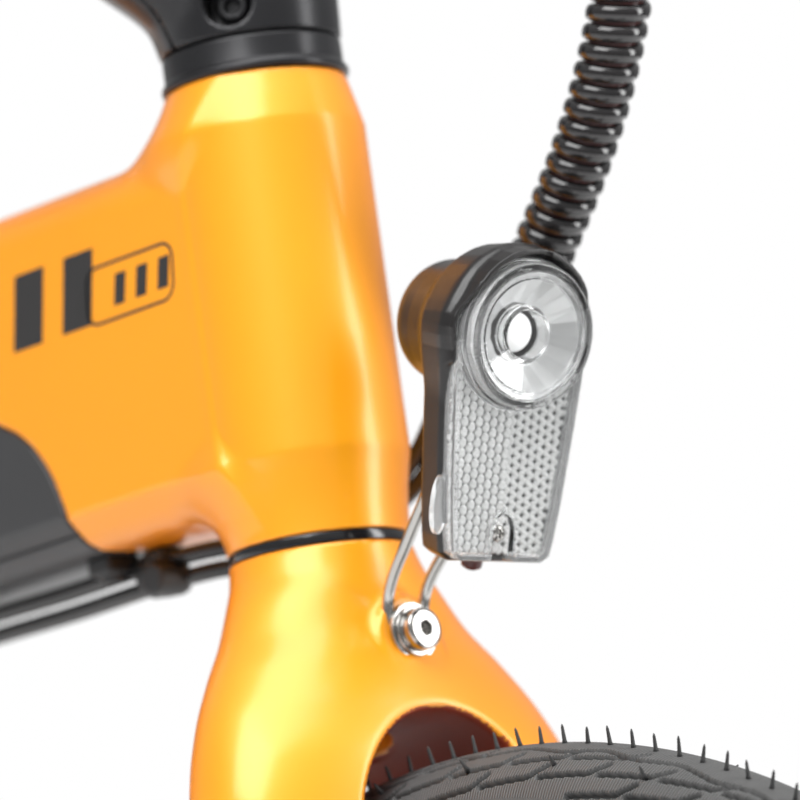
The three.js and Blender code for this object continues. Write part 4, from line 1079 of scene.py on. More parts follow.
def tyre(tag, c, rings, across):
    """The tyre skin: `rings` are angles round the axle, `across` the points over the tread."""
    t_arc = np.concatenate([np.linspace(-TREAD_HALF, TREAD_HALF, across),
                            np.linspace(TREAD_HALF + 2, 56.5, 12)])
    t_arc = np.concatenate([-t_arc[::-1][:12], t_arc])
    ang, arc = np.array(rings)[:, None], t_arc[None, :]
    phi = arc / TYRE_T
    beads = sum(tall * np.exp(-((abs(arc) - at) / wide) ** 2) for at, tall, wide in SIDE_LINES)
    rad = TYRE_T - 0.15 + tread(ang * WHEEL_R, arc) + beads - 1.2 * ease((abs(arc) - 40) / 14)
    rho = TYRE_C + rad * np.cos(phi)
    y = rad * np.sin(phi) * (1 - 0.16 * ease((abs(arc) - 34) / 22))
    x, z = rho * np.cos(ang), rho * np.sin(ang)
    v = np.stack([c[0] + x, c[1] + np.broadcast_to(y, x.shape), c[2] + z], -1)
    n_r = len(v)
    inner = [(204.5, 17.5), (210, 20), (222, 19.5), (230, 12), (232, 0), (230, -12), (222, -19.5),
             (210, -20), (204.5, -17.5)]
    w = np.stack([np.stack([c[0] + r * np.cos(ang[:, 0]), np.full(n_r, c[1] + yy),
                            c[2] + r * np.sin(ang[:, 0])], -1) for r, yy in inner], 1)
    v = np.concatenate([v, w], 1)
    q = grid_faces(n_r, v.shape[1])
    ob = make(f"{tag}_tyre_tread", v.reshape(-1, 3), q, TREAD)
    around = np.repeat(np.array(rings) * WHEEL_R, v.shape[1])
    over = np.tile(np.concatenate([t_arc, np.full(len(inner), 60)]), n_r)
    low = np.concatenate([tread(ang * WHEEL_R, arc), np.zeros((n_r, len(inner)))], 1).ravel()
    for key, val in (("around", around), ("across", over), ("groove", low)):
        layer = ob.data.attributes.new(key, "FLOAT", "POINT")
        layer.data.foreach_set("value", val.astype(np.float32))
    place(outward(ob), f"{tag}_wheel", f"{tag}_tyre", slot="tyre")


def tread_material():
    """Tyre rubber with fine ribs on the tread; painted shade makes the rib valleys and the grooves darker."""
    m = surface("tread_rubber", (0.078, 0.078, 0.077), 0.6, grain=0.45, depth=0.03, mottle=12, shift=0.15)
    nt = m.node_tree
    new, link = nt.nodes.new, nt.links.new
    b = nt.nodes["Principled BSDF"]
    read = {}
    for key in ("around", "across", "groove"):
        n = new("ShaderNodeAttribute")
        n.attribute_name = key
        read[key] = n.outputs["Fac"]

    def maths(op, a, c):
        n = new("ShaderNodeMath")
        n.operation = op
        for k, v in enumerate((a, c)):
            link(v, n.inputs[k]) if not isinstance(v, float) else setattr(n.inputs[k], "default_value", v)
        return n.outputs[0]

    off_centre = maths("ABSOLUTE", read["across"], 0.0)
    slanted = maths("ADD", read["around"], maths("MULTIPLY", off_centre, 0.15))
    ribs = maths("SINE", maths("MULTIPLY", slanted, TAU / 1.05), 0.0)
    on_tread = maths("LESS_THAN", off_centre, TREAD_HALF - 1)
    proud = maths("GREATER_THAN", read["groove"], -0.35)
    amount = maths("MULTIPLY", maths("MULTIPLY", ribs, on_tread), proud)
    bump = new("ShaderNodeBump")
    bump.inputs["Distance"].default_value = 0.16 * MM
    link(amount, bump.inputs["Height"])
    old = b.inputs["Normal"].links[0].from_socket
    link(old, bump.inputs["Normal"])
    link(bump.outputs[0], b.inputs["Normal"])
    # Painted shade: the base colour follows the rib relief, and darkens with groove depth below.
    span = new("ShaderNodeMapRange")
    span.inputs[1].default_value, span.inputs[2].default_value = -1.0, 1.0
    span.inputs[3].default_value, span.inputs[4].default_value = 0.55, 1.35
    link(amount, span.inputs[0])
    groove_shade = new("ShaderNodeMapRange")
    groove_shade.inputs[1].default_value, groove_shade.inputs[2].default_value = -1.2, -0.1
    groove_shade.inputs[3].default_value, groove_shade.inputs[4].default_value = 0.28, 1.0
    link(read["groove"], groove_shade.inputs[0])
    shade = new("ShaderNodeMix")
    shade.data_type, shade.blend_type = "RGBA", "MULTIPLY"
    shade.inputs[0].default_value = 1
    link(b.inputs["Base Color"].links[0].from_socket, shade.inputs[6])
    grey = maths("MULTIPLY", span.outputs[0], groove_shade.outputs[0])
    link(grey, shade.inputs[7])
    link(shade.outputs[2], b.inputs["Base Color"])
    return m


TREAD = tread_material()
# The front tyre is cut finest under the fork crown, from 48 to 122 degrees.
near = np.radians(np.arange(48, 122, math.degrees(0.5 / WHEEL_R)))
rest = np.radians(np.linspace(122, 408, 780))
tyre("front", FRONT, np.concatenate([near, rest[:-1]]), 110)
tyre("rear", REAR, np.linspace(0, TAU, 1100)[:-1], 64)


def hairs(tag, c, seed):
    """The rubber vent hairs a new tyre carries along its crown and shoulders."""
    rng = np.random.default_rng(seed)
    parts = []
    for arc, pitch, tall in HAIR_ROWS:
        phi = arc / TYRE_T
        for k in range(int(TAU * WHEEL_R / pitch)):
            ang = k * pitch / WHEEL_R + rng.normal(0, 0.0006)
            lean = rng.normal(0, 0.07, 2)
            if math.sin(ang) < GROUNDED:
                continue
            root, reach = TYRE_T - 0.8, TYRE_C + (TYRE_T - 0.8) * math.cos(phi)
            base = np.array([reach * math.cos(ang), root * math.sin(phi), reach * math.sin(ang)])
            out = np.array([math.cos(phi) * math.cos(ang), math.sin(phi), math.cos(phi) * math.sin(ang)])
            tang = np.array([-math.sin(ang), 0, math.cos(ang)])
            out = out + lean[0] * tang + lean[1] * Y
            out /= np.linalg.norm(out)
            side = np.cross(out, tang)
            size = tall * (1 + rng.normal(0, 0.06)) + 0.8
            ring = [math.cos(i * TAU / 5) * tang + math.sin(i * TAU / 5) * side for i in range(5)]
            levels = [(0, 1.0), (1.4, 0.62), (size * 0.85, 0.42), (size, 0.18)]
            v = [c + base + out * d + r * w for d, w in levels for r in ring]
            parts.append((v, [tuple(q) for q in grid_faces(4, 5)]
                          + [tuple(range(15, 20)), (4, 3, 2, 1, 0)]))
    bundle(f"{tag}_vent_hairs", parts, HAIR, f"{tag}_wheel", slot="tyre")


HAIR = surface("hair_rubber", (0.03, 0.03, 0.03), 0.5, grain=0.5, depth=0.01, mottle=10, shift=0.3)
# Rows of hairs: place across the tyre, spacing, length. None are left below GROUNDED, where it is worn.
HAIR_ROWS = [(-3.5, 8.8, 4.7), (17, 35.2, 3.4), (-17, 35.2, 3.4)]
GROUNDED = -0.955
hairs("front", FRONT, 3)
hairs("rear", REAR, 4)

RIM = [(203, 13), (208.5, 14.5), (208.5, 12.6), (204, 11.2), (201.5, 9), (199, 0), (201.5, -9),
       (204, -11.2), (208.5, -12.6), (208.5, -14.5), (203, -13), (192, -10.5), (183.5, -6), (182, 0),
       (183.5, 6), (192, 10.5)]
SPOKES = 28


def wheel(tag, c, hub_profile, spoke_r, spoke_y, cross_count):
    """Rim, hub and crossed spokes; at the hub a spoke runs back by `cross_count` spacings."""
    body = f"{tag}_wheel"
    turned(f"{tag}_rim_ring", c, Y, RIM, ANOD, body, f"{tag}_rim", slot="satin_black", sides=160, angle=40)
    turned(f"{tag}_hub_shell", c, Y, hub_profile, ANOD, body, f"{tag}_hub", slot="satin_black")
    parts = []
    for i in range(SPOKES):
        s = 1 if i % 2 else -1
        a_rim = (i + 0.5) * TAU / SPOKES
        a_hub = a_rim + (1 if (i // 2) % 2 else -1) * cross_count * TAU / SPOKES
        p0 = c + np.array([spoke_r * math.cos(a_hub), s * spoke_y, spoke_r * math.sin(a_hub)])
        p1 = c + np.array([185 * math.cos(a_rim), s * 2.2, 185 * math.sin(a_rim)])
        p2 = p0 + (p1 - p0) * 0.93
        parts.append(sweep(np.linspace(p0, p1, 4), 1.0, 7))
        parts.append(sweep(np.linspace(p2, p1 + (p1 - p0) * 0.01, 4), 2.0, 8))
    bundle(f"{tag}_spokes", parts, STEEL, body, slot="steel")


wheel("front", FRONT, [(6.6, -36), (12, -36), (15, -33), (24, -31.5), (24, -28.5), (16, -27), (12.5, -20),
                       (12.5, 20), (16, 27), (22, 28.5), (22, 31.5), (18, 32), (18, 39), (6.6, 39)], 21, 30,
      6)
wheel("rear", REAR, [(6.6, -49), (17, -49), (19, -46), (22, -42), (50, -38.5), (58, -35), (60, -32),
                     (60, -27), (56.5, -25), (56.5, 25), (60, 27), (60, 32), (58, 35), (50, 38.5), (22, 42),
                     (18, 44), (18, 58), (6.6, 58)], 58, 29.5, 3)

HOLES_ROUND = 30


def rotor(tag):
    """A brake disc with a scalloped rim, three rows of holes and five curved arms."""

    def field(x, y, z):
        r, a = np.hypot(x, z), np.arctan2(z, x)
        band = abs(r - 72.6) - 7.0 - 0.5 * np.cos(a * 18)
        holes = np.full(np.broadcast(x, z).shape, 1e9)
        for rad, off, hr in ((76.2, 0, 2.0), (72.4, 0.5, 2.0), (68.6, 0, 1.8)):
            near_a = (a / TAU * HOLES_ROUND + off + 0.5) % 1 - 0.5
            holes = np.minimum(holes, np.hypot(near_a * TAU / HOLES_ROUND * rad, r - rad) - hr)
        arm = abs(((a + (r - 40) * 0.009) / TAU * 5 + 0.5) % 1 - 0.5) * TAU / 5 * r - 3.6
        arm = smax(arm, abs(r - 46) - 22, 0.5)
        d = smin(smax(band, -holes, 0.3), arm, 3)
        d = smin(d, abs(r - 22.8) - 4.2, 2)
        bolts = np.sqrt((((a / TAU * 6 + 0.5) % 1 - 0.5) * TAU / 6 * 23) ** 2 + (r - 23) ** 2) - 2.2
        return smax(smax(d, -bolts, 0.2), abs(y) - 0.9, 0.3)

    cast(f"{tag}_brake_disc", field, (-81.5, -1.4, -81.5), (81.5, 1.4, 81.5), 0.7,
         Axes(centre(f"{tag}_rotor"), X, Y, Z), STEEL, f"{tag}_wheel", f"{tag}_rotor", slot="steel")


rotor("front")
rotor("rear")


# ---- rear frame ------------------------------------------------------------------------------------------
def runs(x, y, z, points, radii, k=0.0):
    """A bent tube through the points, its radius changing along it."""
    d = None
    for (a, b), (ra, rb) in zip(zip(points, points[1:]), zip(radii, radii[1:])):
        a, b = np.array(a, float), np.array(b, float)
        e = b - a
        t = np.clip(((x - a[0]) * e[0] + (y - a[1]) * e[1] + (z - a[2]) * e[2]) / (e @ e), 0, 1)
        seg = np.sqrt((x - a[0] - t * e[0]) ** 2 + (y - a[1] - t * e[1]) ** 2
                      + (z - a[2] - t * e[2]) ** 2) - (ra + (rb - ra) * t)
        d = seg if d is None else (smin(d, seg, k) if k else np.minimum(d, seg))
    return d


def seat_point(t, y=0, f=0):
    return SEAT(f, y, t) - BIKE.o


def from_bike(x, z):
    dx, dz = x - CROWN_XZ[0], z - CROWN_XZ[1]
    return COS * dx + SIN * dz, -SIN * dx + COS * dz


AXLE = REAR - BIKE.o
HIGH = (BB - BIKE.o)[2]


def rear_frame(x, y, z):
    """Rear beam, seat tube, stays and bottom bracket in one casting, with the hinge eye."""
    f, h = from_bike(x, z)
    slim = ease((-400 - f) / 160)
    bar = beam(f, y, h, 28.5 - 9 * slim, 15 + 10 * slim, 118 - 24 * slim)
    bar = smax(bar, -556 - f, 8)
    ay = abs(y)
    seat_tube = rod(x, y, z, seat_point(-10), seat_point(290), 20.5, 1)
    d = smin(bar, seat_tube, 9)
    plate = smax(poly(y, z, PLATE), abs(x - JOINT_X + 5.8) - 5.5, 1.2)
    d = smax(smin(d, plate, 5), x - JOINT_X + 0.3, 0.4)
    eye = np.hypot(x - JOINT_X, y - HINGE_Y)
    d = smin(d, disc(eye, z, 11, 448.6, 531.4), 2)
    for z0, z1 in ((424, 447.9), (532.1, 556)):
        d = smax(d, -disc(eye, z, 12.6, z0, z1, 0.5), 0.6)
    shell = disc(np.hypot(x, z - HIGH), y, 23, -36, 36, 1.5)
    d = smin(d, shell, 7)
    chainstay = [(-8, 24, 280), (-70, 34, 274), (-130, 38, 268), (-200, 48, 264), (-320, 70, 258),
                 (-412, 70.5, 254)]
    d = smin(d, runs(x, ay, z, chainstay, (11, 9.5, 8.5, 8.5, 8, 7.5), 3), 5)
    top = seat_point(268)
    seatstay = [(top[0], 10, top[2]), (-130, 30, 508), (-200, 44, 450), (-310, 62, 360), (-414, 71, 268)]
    d = smin(d, runs(x, ay, z, seatstay, (8.5, 8, 7.5, 7.2, 7.2), 3), 5)
    reach = np.hypot(x - AXLE[0], z - AXLE[2])
    d = smin(d, disc(reach, ay, 19, 69, 76, 1), 4)
    d = smin(d, block(x, y, z, (-318, 74, 248), (14, 12, 14), 3), 3)
    d = smax(d, -disc(np.hypot(x, z - HIGH), y, 19, -60, -33.5, 0.5), 0.6)
    bore = rod(x, y, z, seat_point(200), seat_point(330), 17.0, 0.4)
    return smax(smax(d, -bore, 0.6), 6.4 - reach, 0.5)


cast("rear_frame_casting", rear_frame, (-452, -80, 226), (122, 92, 578), 1.9, BIKE, PAINT, "rear_frame",
     "rear_frame", slot="paint")


def clamp_ring(f, y, h):
    r = np.hypot(f, y)
    d = smax(smax(r - 24.6, 17.3 - r, 0.5), abs(h - 299.2) - 8.6, 1.5)
    ears = block(f, y, h, (-29, 0, 299), (9, 9, 7.5), 2.5)
    d = smin(d, ears, 3)
    d = smax(d, -smax(abs(y) - 1.1, f + 16, 0.2), 0.3)
    bolt = disc(np.hypot(f + 33, h - 299), y, 4.2, -12.5, 23, 0.8)
    groove = smax(abs(r - 24.6) - 0.6, abs(h - 302) - 0.8, 0.3)
    return np.minimum(smax(smax(d, -groove, 0.2), 17.3 - r, 0.2), bolt)


SEAT_SQUARE = Axes(BB, np.cross(Y, SEAT_AXIS), Y, SEAT_AXIS)
cast("seat_clamp_ring", clamp_ring, (-42, -27, 289), (27, 27, 309), 0.9, SEAT_SQUARE, ANOD, "rear_frame",
     "seat_clamp", slot="satin_black")


turned("seatpost_tube", BB, SEAT_AXIS, [(16.5, 141), (16.5, 549.5), (15, 551), (14, 551), (14, 141)], ALLOY,
       "seatpost", "seatpost", slot="alloy")
turned("seatpost_marks", BB, SEAT_AXIS, [(16.62, 226), (16.62, 226.8), (16.4, 226.8), (16.4, 226)], DECAL,
       "seatpost", slot="black")
BAR_H = 528                         # height of the handlebar along the steering axis
turned("bar_tube", STEER(0, 0, BAR_H), Y, [(11.1, -286), (11.1, -60), (12.4, -46), (12.6, -30), (12.6, 30),
                                           (12.4, 46), (11.1, 60), (11.1, 286), (9, 286), (9, -286)], ANOD,
       "bar", "handlebar", slot="satin_black")


def bar_post(f, y, h):
    """The sliding upper post with the handlebar clamp."""
    r = np.hypot(f, y)
    post = smax(smax(r - 14.8, abs(h - 401) - 111, 1), 12.6 - r, 0.4)
    clamp = disc(np.hypot(f, h - BAR_H), y, 19.5, -24, 24, 2.2)
    d = smin(post, clamp, 7)
    d = smax(d, -smax(abs(h - BAR_H) - 0.8, 5 - f, 0.2), 0.3)
    for s in (-15, 15):
        d = smax(d, -disc(np.hypot(y - s, f - 15), h, 3.4, BAR_H + 9, BAR_H + 24, 0.3), 0.5)
        d = np.minimum(d, disc(np.hypot(y - s, f - 15), h, 2.9, BAR_H + 2, BAR_H + 13, 0.4))
    return smax(d, 12.0 - np.hypot(f, h - BAR_H), 0.4)


cast("bar_post_and_clamp", bar_post, (-21, -26, 288), (21, 26, 550), 1.0, STEER, ANOD, "bar", "upper_post",
     slot="satin_black")


# ---- grips, levers, display -----------------------------------------------------------------------------
def grip(f, y, h):
    """Ribbed palm pad, raised diamonds and a flange at the inner end; y runs out from the flange."""
    r, a = np.hypot(f, h), np.arctan2(h, f)
    body = r - (15.2 + 0.8 * ease((y - 6) / 20) - 0.7 * ease((y - 40) / 40) + 0.6 * ease((y - 88) / 25))
    lattice = np.cos(a * 14 + y * 0.62) + np.cos(a * 14 - y * 0.62)
    on = ease((y - 14) / 4) * ease((112 - y) / 4)
    body = body - 0.34 * np.clip(lattice, -1, 1) * on
    bands = abs(((y - 2) / 49 + 0.5) % 1 - 0.5) * 49 - 1.4
    body = smin(body, smax(r - 16.2, bands, 0.4), 0.4)
    d = smax(body, abs(y - 63.5) - 60.5, 2.2)
    flange = disc(r, y, 18.4, 0, 5, 1.4)
    return smax(smin(d, flange, 1.5), 11.2 - r, 0.3)


def lever(f, y, h):
    """Forged two-finger blade; y runs out along the grip."""
    mid = curve(y, [140, 150, 165, 185, 265, 279], [25, 29, 41, 51, 58.5, 61])
    half = curve(y, [138, 150, 165, 185, 260, 272, 280], [6, 6.8, 6, 5.4, 5.2, 5.8, 5])
    slope = 0.45 * ease((180 - y) / 40) + 0.12
    d = np.sqrt(((f - mid) / (1 + slope) / half) ** 2 + (h / 3.6) ** 2) - 1
    d = smax(d * 3.4, abs(y - 210) - 70, 2)
    d = smin(d, np.sqrt((f - 60.5) ** 2 + (y - 276) ** 2 + h * h * 1.1) - 5.4, 2.5)
    hollow = smax(smax(abs(f - mid) - half * 0.5, 2.2 - abs(h), 0.4), abs(y - 218) - 34, 2)
    return smax(d, -hollow, 0.6)


def lever_bracket(f, y, h):
    r = np.hypot(f, h)
    band = smax(smax(r - 15.8, 11.8 - r, 0.4), abs(y - 147) - 8.6, 1.2)
    body = block(f, y, h, (21, 146, 0), (9, 8, 9.5), 2.5)
    d = smin(band, body, 3)
    d = smax(d, -block(f, y, h, (25, 151, 0), (9, 12, 3.9), 0.4), 0.4)
    nut = disc(np.hypot(f - 24.5, y - 143), h, 3.6, -9.8, 9.8, 0.6)
    adjuster = disc(np.hypot(f - 20, h), y, 4.6 + 0.3 * np.cos(12 * np.arctan2(h, f - 20)), 131, 139, 0.8)
    return smax(np.minimum(smin(d, adjuster, 0.8), nut), 11.8 - r, 0.3)


def both_sides(name, fn, lo, hi, step, mats, slot, body, node, offset=0):
    """The same piece at each end of the bar, mirrored in its field; `offset` moves the field inwards."""
    for side, s in (("left", 1), ("right", -1)):
        y0, y1 = sorted((s * lo[1], s * hi[1]))
        cast(f"{name}_{side}", lambda f, y, h, s=s: fn(f, s * y + offset, h), (lo[0], y0, lo[2]),
             (hi[0], y1, hi[2]), step, Axes(STEER(0, 0, BAR_H), F, Y, N), mats, body.format(side),
             node.format(side), slot=slot)


both_sides("ribbed_grip", grip, (-20, 164, -20), (20, 294, 20), 0.9, GRIP, "rubber", "bar", "grip_{}",
           offset=-166.5)
both_sides("brake_blade", lever, (16, 136, -6), (68, 283, 6), 0.8, ANOD, "satin_black", "brake_lever_{}",
           "brake_lever_{}")
both_sides("lever_clamp", lever_bracket, (-18, 129, -18), (32, 158, 18), 0.8, ANOD, "satin_black", "bar",
           "lever_bracket_{}")


DISPLAY_Y = 52


def display(f, y, h):
    d = block(f, y, h, (6, DISPLAY_Y, BAR_H + 19), (20, 24, 7), 4)
    r = np.hypot(f, h - BAR_H)
    d = smin(d, disc(r, y, 14.6, 41, 61, 1), 3)
    d = smax(d, -block(f, y, h, (9, DISPLAY_Y, BAR_H + 27), (14, 19.5, 1.7), 0.8), 0.4)
    for k in (-1, 0, 1):
        d = smin(d, block(f, y, h, (-9.5, DISPLAY_Y + 13 * k, BAR_H + 26), (2.2, 4.4, 1.3), 0.9), 0.2)
    return smax(d, 11.8 - r, 0.3)


cast("display_case", display, (-16, 26, BAR_H - 16), (28, 78, BAR_H + 28), 0.7, STEER, MATT, "bar",
     "display", slot="black")
SCREEN = surface("screen_glass", (0.01, 0.012, 0.014), 0.06, coat=1, grain=2, depth=0.001, mottle=30,
                 shift=0.2)
cast("display_screen", lambda f, y, h: block(f, y, h, (9, DISPLAY_Y, BAR_H + 25), (13.8, 19.2, 0.8), 0.4),
     (-6, 31, BAR_H + 23.8), (24, 73, BAR_H + 26.2), 0.5, STEER, SCREEN, "bar", slot="lens")


# ---- saddle: rails, clamp, shell and a padded cover ------------------------------------------------------
def rail_points(s):
    """The course of one saddle rail; s is its side."""
    return [SEAT(95, s * 8, 580), SEAT(45, s * 22, 566), SEAT(0, s * 22, 562), SEAT(-50, s * 22, 562),
            SEAT(-95, s * 30, 578)]


parts = [sweep(spline(rail_points(s), 60)[0], 3.5, 16) for s in (1, -1)]
parts.append(sweep(np.linspace(SEAT(-94, -31, 579), SEAT(-94, 31, 579), 6), 4.6, 12))
parts.append(sweep(np.linspace(SEAT(94, -10, 580), SEAT(94, 10, 580), 6), 4.6, 12))
bundle("saddle_rail_wires", parts, STEEL, "seatpost", "saddle_rails", slot="steel")


def saddle_clamp(x, y, t):
    d = block(x, y, t, (0, 0, 563.5), (22, 31, 7), 3)
    d = smin(d, disc(np.hypot(x, y), t, 18.5, 540, 566, 1.5), 3)
    d = smax(d, -smax(abs(t - 563.5) - 0.7, 12 - abs(y), 0.2), 0.3)
    bolt = disc(np.hypot(x, t - 563.5), y, 4.5, -34, 34, 0.8)
    return np.minimum(d, bolt)


cast("saddle_yoke", saddle_clamp, (-24, -36, 538), (24, 36, 572), 0.9, Axes(BB, X, Y, SEAT_AXIS), ANOD,
     "seatpost", "saddle_clamp", slot="satin_black")

SADDLE_O = SEAT(0, 0, 586)
SADDLE = Axes(SADDLE_O, X, Y, Z)
SAD_X = [-132, -122, -105, -85, -40, 10, 60, 105, 122]
SAD_W = [50, 74, 83, 84, 66, 38, 24, 19.5, 10]
SAD_T = [14, 25, 31, 33, 33, 30, 27, 22, 14]
SAD_Z = [4, 3.2, 1, 0, -2, -3, 0, 2, 2]


def saddle_form(x, y, z, grow=0.0):
    """The padded saddle: wide and domed behind, a slim nose, a shallow channel along the middle."""
    w, t, z0 = curve(x, SAD_X, SAD_W) + grow, curve(x, SAD_X, SAD_T), curve(x, SAD_X, SAD_Z)
    crown = z0 + t + grow - 2.4 * np.exp(-(y / 9) ** 2) * ease((95 - x) / 50) - 0.12 * t * (abs(y) / w) ** 2
    top = z - crown
    side = abs(y) - w * (1 - 0.06 * ((z - z0) / t - 0.45) ** 2)
    d = smax(top, side, 11)
    d = smax(d, z0 + 5 - z, 2)
    return smax(smax(d, x - 122.5 - grow, 9), -132.5 - grow - x, 9)


def saddle_shell(x, y, z):
    """The plastic base under the cover, with sockets for the rails."""
    d = saddle_form(x, y, z, -0.8)
    z0 = curve(x, SAD_X, SAD_Z)
    d = smax(d, z - z0 - 9, 1)
    low = smax(abs(y) - (curve(x, SAD_X, SAD_W) - 5), z0 + 0.5 - z, 2)
    base = smax(smax(low, z - z0 - 9, 1), smax(x - 116, -127 - x, 4), 4)
    d = smin(d, base, 1.5)
    for s in (30, 8):
        at_x = -94 if s == 30 else 92
        d = smin(d, block(x, abs(y), z, (at_x, s, 2), (8, 7, 4.5), 2), 2)
    return d


cast("saddle_shell", saddle_shell, (-136, -88, -6), (126, 88, 16), 1.4, SADDLE, MATT, "seatpost",
     slot="black")
pad = carve("saddle_cover", lambda x, y, z: saddle_form(x, y, z, -2.2), (-138, -90, -4), (128, 90, 40),
            3.6, SADDLE, VINYL)
# The cover is puffed out by air pressure while a band round its lower edge stays where it is.
me = pad.data
if me.has_custom_normals:
    bpy.context.view_layer.objects.active = pad
    pad.select_set(True)
    bpy.ops.mesh.customdata_custom_splitnormals_clear()
hold = pad.vertex_groups.new(name="hold")
for vert in me.vertices:
    px, py, pz = np.array(vert.co) / MM - SADDLE_O
    low_edge = float(curve(px, SAD_X, SAD_Z)) + 10
    channel = math.exp(-(py / 5) ** 2) * float(ease((95 - px) / 40))
    weight = max(1.0 if pz < low_edge else 0.0, channel * 0.9)
    if weight > 0.02:
        hold.add([vert.index], weight, "REPLACE")
before = np.array([v.co for v in me.vertices])
cloth = pad.modifiers.new("cloth", "CLOTH")
cs = cloth.settings
cs.quality, cs.mass = 6, 0.25
cs.tension_stiffness = cs.compression_stiffness = 12
cs.shear_stiffness, cs.bending_stiffness = 8, 1.2
cs.use_pressure, cs.uniform_pressure_force = True, 3.2
cs.effector_weights.gravity = 0
cs.vertex_group_mass, cs.pin_stiffness = "hold", 1.0
cloth.collision_settings.use_collision = False
cloth.point_cache.frame_start, cloth.point_cache.frame_end = 1, 20
for frame_no in range(1, 21):
    bpy.context.scene.frame_set(frame_no)
seen = pad.evaluated_get(bpy.context.evaluated_depsgraph_get())
after = np.array([v.co for v in seen.data.vertices])
move = after - before
far = np.linalg.norm(move, axis=1)
limit = 5 * MM
move *= np.minimum(1, limit / np.maximum(far, 1e-9))[:, None]
pad.modifiers.remove(cloth)
bpy.context.scene.frame_set(1)
me.vertices.foreach_set("co", (before + move).ravel().astype(np.float32))
me.update()
sub = pad.modifiers.new("smooth", "SUBSURF")
sub.levels = sub.render_levels = 1
place(pad, "seatpost", "saddle", slot="vinyl")

# Stitched seams on the cover.
def top_of_saddle(x, y):
    z = np.full(np.shape(x), 36.0)
    for _ in range(14):
        z = z - np.maximum(saddle_form(x, y, z, 1.2), -1) * 0.9
    return z


seam_x = np.linspace(-112, 104, 150)
seam_parts = []
for s in (1, -1):
    seam_y = s * curve(seam_x, SAD_X, SAD_W) * 0.62
    line = SADDLE(np.stack([seam_x, seam_y, top_of_saddle(seam_x, seam_y)], -1))
    for a, after_gap in zip(line, line[1:]):
        b = a + (after_gap - a) * 0.62
        seam_parts.append(sweep(np.linspace(a, b, 3), 0.55, 5))
bundle("saddle_stitching", seam_parts, THREAD, "seatpost", slot="vinyl")


# ---- drive: chain, chainring, sprocket, cranks, pedals ---------------------------------------------------
RING_R, SPROCKET_R, CHAIN_Y = 86, 32, -57
PITCH_MM = 12.7


def chain_path():
    """Places of the pins, evenly spaced round both toothed wheels."""
    d, dz = -AXLE[0], HIGH - AXLE[2]
    span, tilt = math.hypot(d, dz), math.atan2(dz, d)
    a = math.acos((RING_R - SPROCKET_R) / span)
    g = 3.6
    t1 = tilt + math.pi + a + (TAU - 2 * a) * np.linspace(0, 1, 220)
    t2 = tilt + math.pi - a + 2 * a * np.linspace(0, 1, 80)
    p = np.concatenate([np.stack([np.cos(t1) * (RING_R + g), HIGH + np.sin(t1) * (RING_R + g)], -1),
                        np.stack([AXLE[0] + np.cos(t2) * (SPROCKET_R + g),
                                  AXLE[2] + np.sin(t2) * (SPROCKET_R + g)], -1)])
    p = np.vstack([p, p[:1]])
    s = np.concatenate([[0], np.cumsum(np.linalg.norm(np.diff(p, axis=0), axis=1))])
    n = int(round(s[-1] / PITCH_MM / 2)) * 2
    u = np.linspace(0, s[-1], n, endpoint=False)
    return np.stack([np.interp(u, s, p[:, k]) for k in (0, 1)], 1)


# Each link is two plates round its pins and one roller; inner and outer links take turns.
pins = chain_path()
parts = []
th = np.arange(12) / 12 * TAU
for i in range(len(pins)):
    a, b = pins[i], pins[(i + 1) % len(pins)]
    d = (b - a) / np.linalg.norm(b - a)
    n2 = np.array([-d[1], d[0]])
    outline = [c + turn * 2.35 * (math.cos(t) * d + math.sin(t) * n2)
               for turn, c in ((1, b), (-1, a)) for t in np.linspace(-1.25, 1.25, 7)]
    off = (2.1, 2.9) if i % 2 else (3.0, 3.5)
    for s in (1, -1):
        parts.append(prism(*([BIKE(q[0], CHAIN_Y + s * w, q[1]) for q in outline] for w in off)))
    ring = [a + 1.9 * np.array([math.cos(t), math.sin(t)]) for t in th]
    parts.append(prism(*([BIKE(q[0], CHAIN_Y + w, q[1]) for q in ring] for w in (-3.4, 3.4))))
place(outward(make("roller_chain", *merged(parts), STEEL, smooth=False)), "rear_frame", "chain",
      slot="steel")


def toothed(x, y, z, radius, teeth, half):
    """A toothed disc, its gaps cut for the rollers of the chain."""
    r, a = np.hypot(x, z), np.arctan2(z, x)
    pitch = TAU / teeth
    near_a = ((a / pitch + 0.5) % 1 - 0.5) * pitch
    seat_gap = np.sqrt((near_a * (radius + 3.4)) ** 2 + (r - radius - 3.4) ** 2) - 4.0
    d = smax(r - (radius + 1.2), -seat_gap, 0.6)
    return smax(d, abs(y) - half, 0.5)


def chainring(x, y, z):
    r, a = np.hypot(x, z), np.arctan2(z, x)
    d = smax(toothed(x, y, z, RING_R, 44, 1.5), 67 - r, 0.6)
    arm = abs(((a - 0.3) / TAU * 5 + 0.5) % 1 - 0.5) * TAU / 5 * r
    arms = smax(smax(arm - 6 - 0.0025 * (r - 40) ** 2 * 0.6, abs(y) - 1.8, 0.5), abs(r - 44) - 27, 1)
    d = smin(d, arms, 3)
    d = smin(d, disc(r, y, 20, -1.8, 1.8, 0.6), 3)
    near = np.sqrt((r - 63) ** 2 + arm ** 2)
    d = smin(d, disc(near, y, 5, -3.2, 3.2, 0.7), 0.5)
    return smax(d, 10.2 - r, 0.3)


DRIVE = Axes(BIKE(0, CHAIN_Y, HIGH), X, Y, Z)
cast("toothed_chainring", chainring, (-90, -3.6, -90), (90, 3.6, 90), 0.8, DRIVE, ANOD, "crank",
     "chainring", slot="satin_black")
HUBSIDE = Axes(REAR * [1, 0, 1] + [0, CHAIN_Y, 0], X, Y, Z)


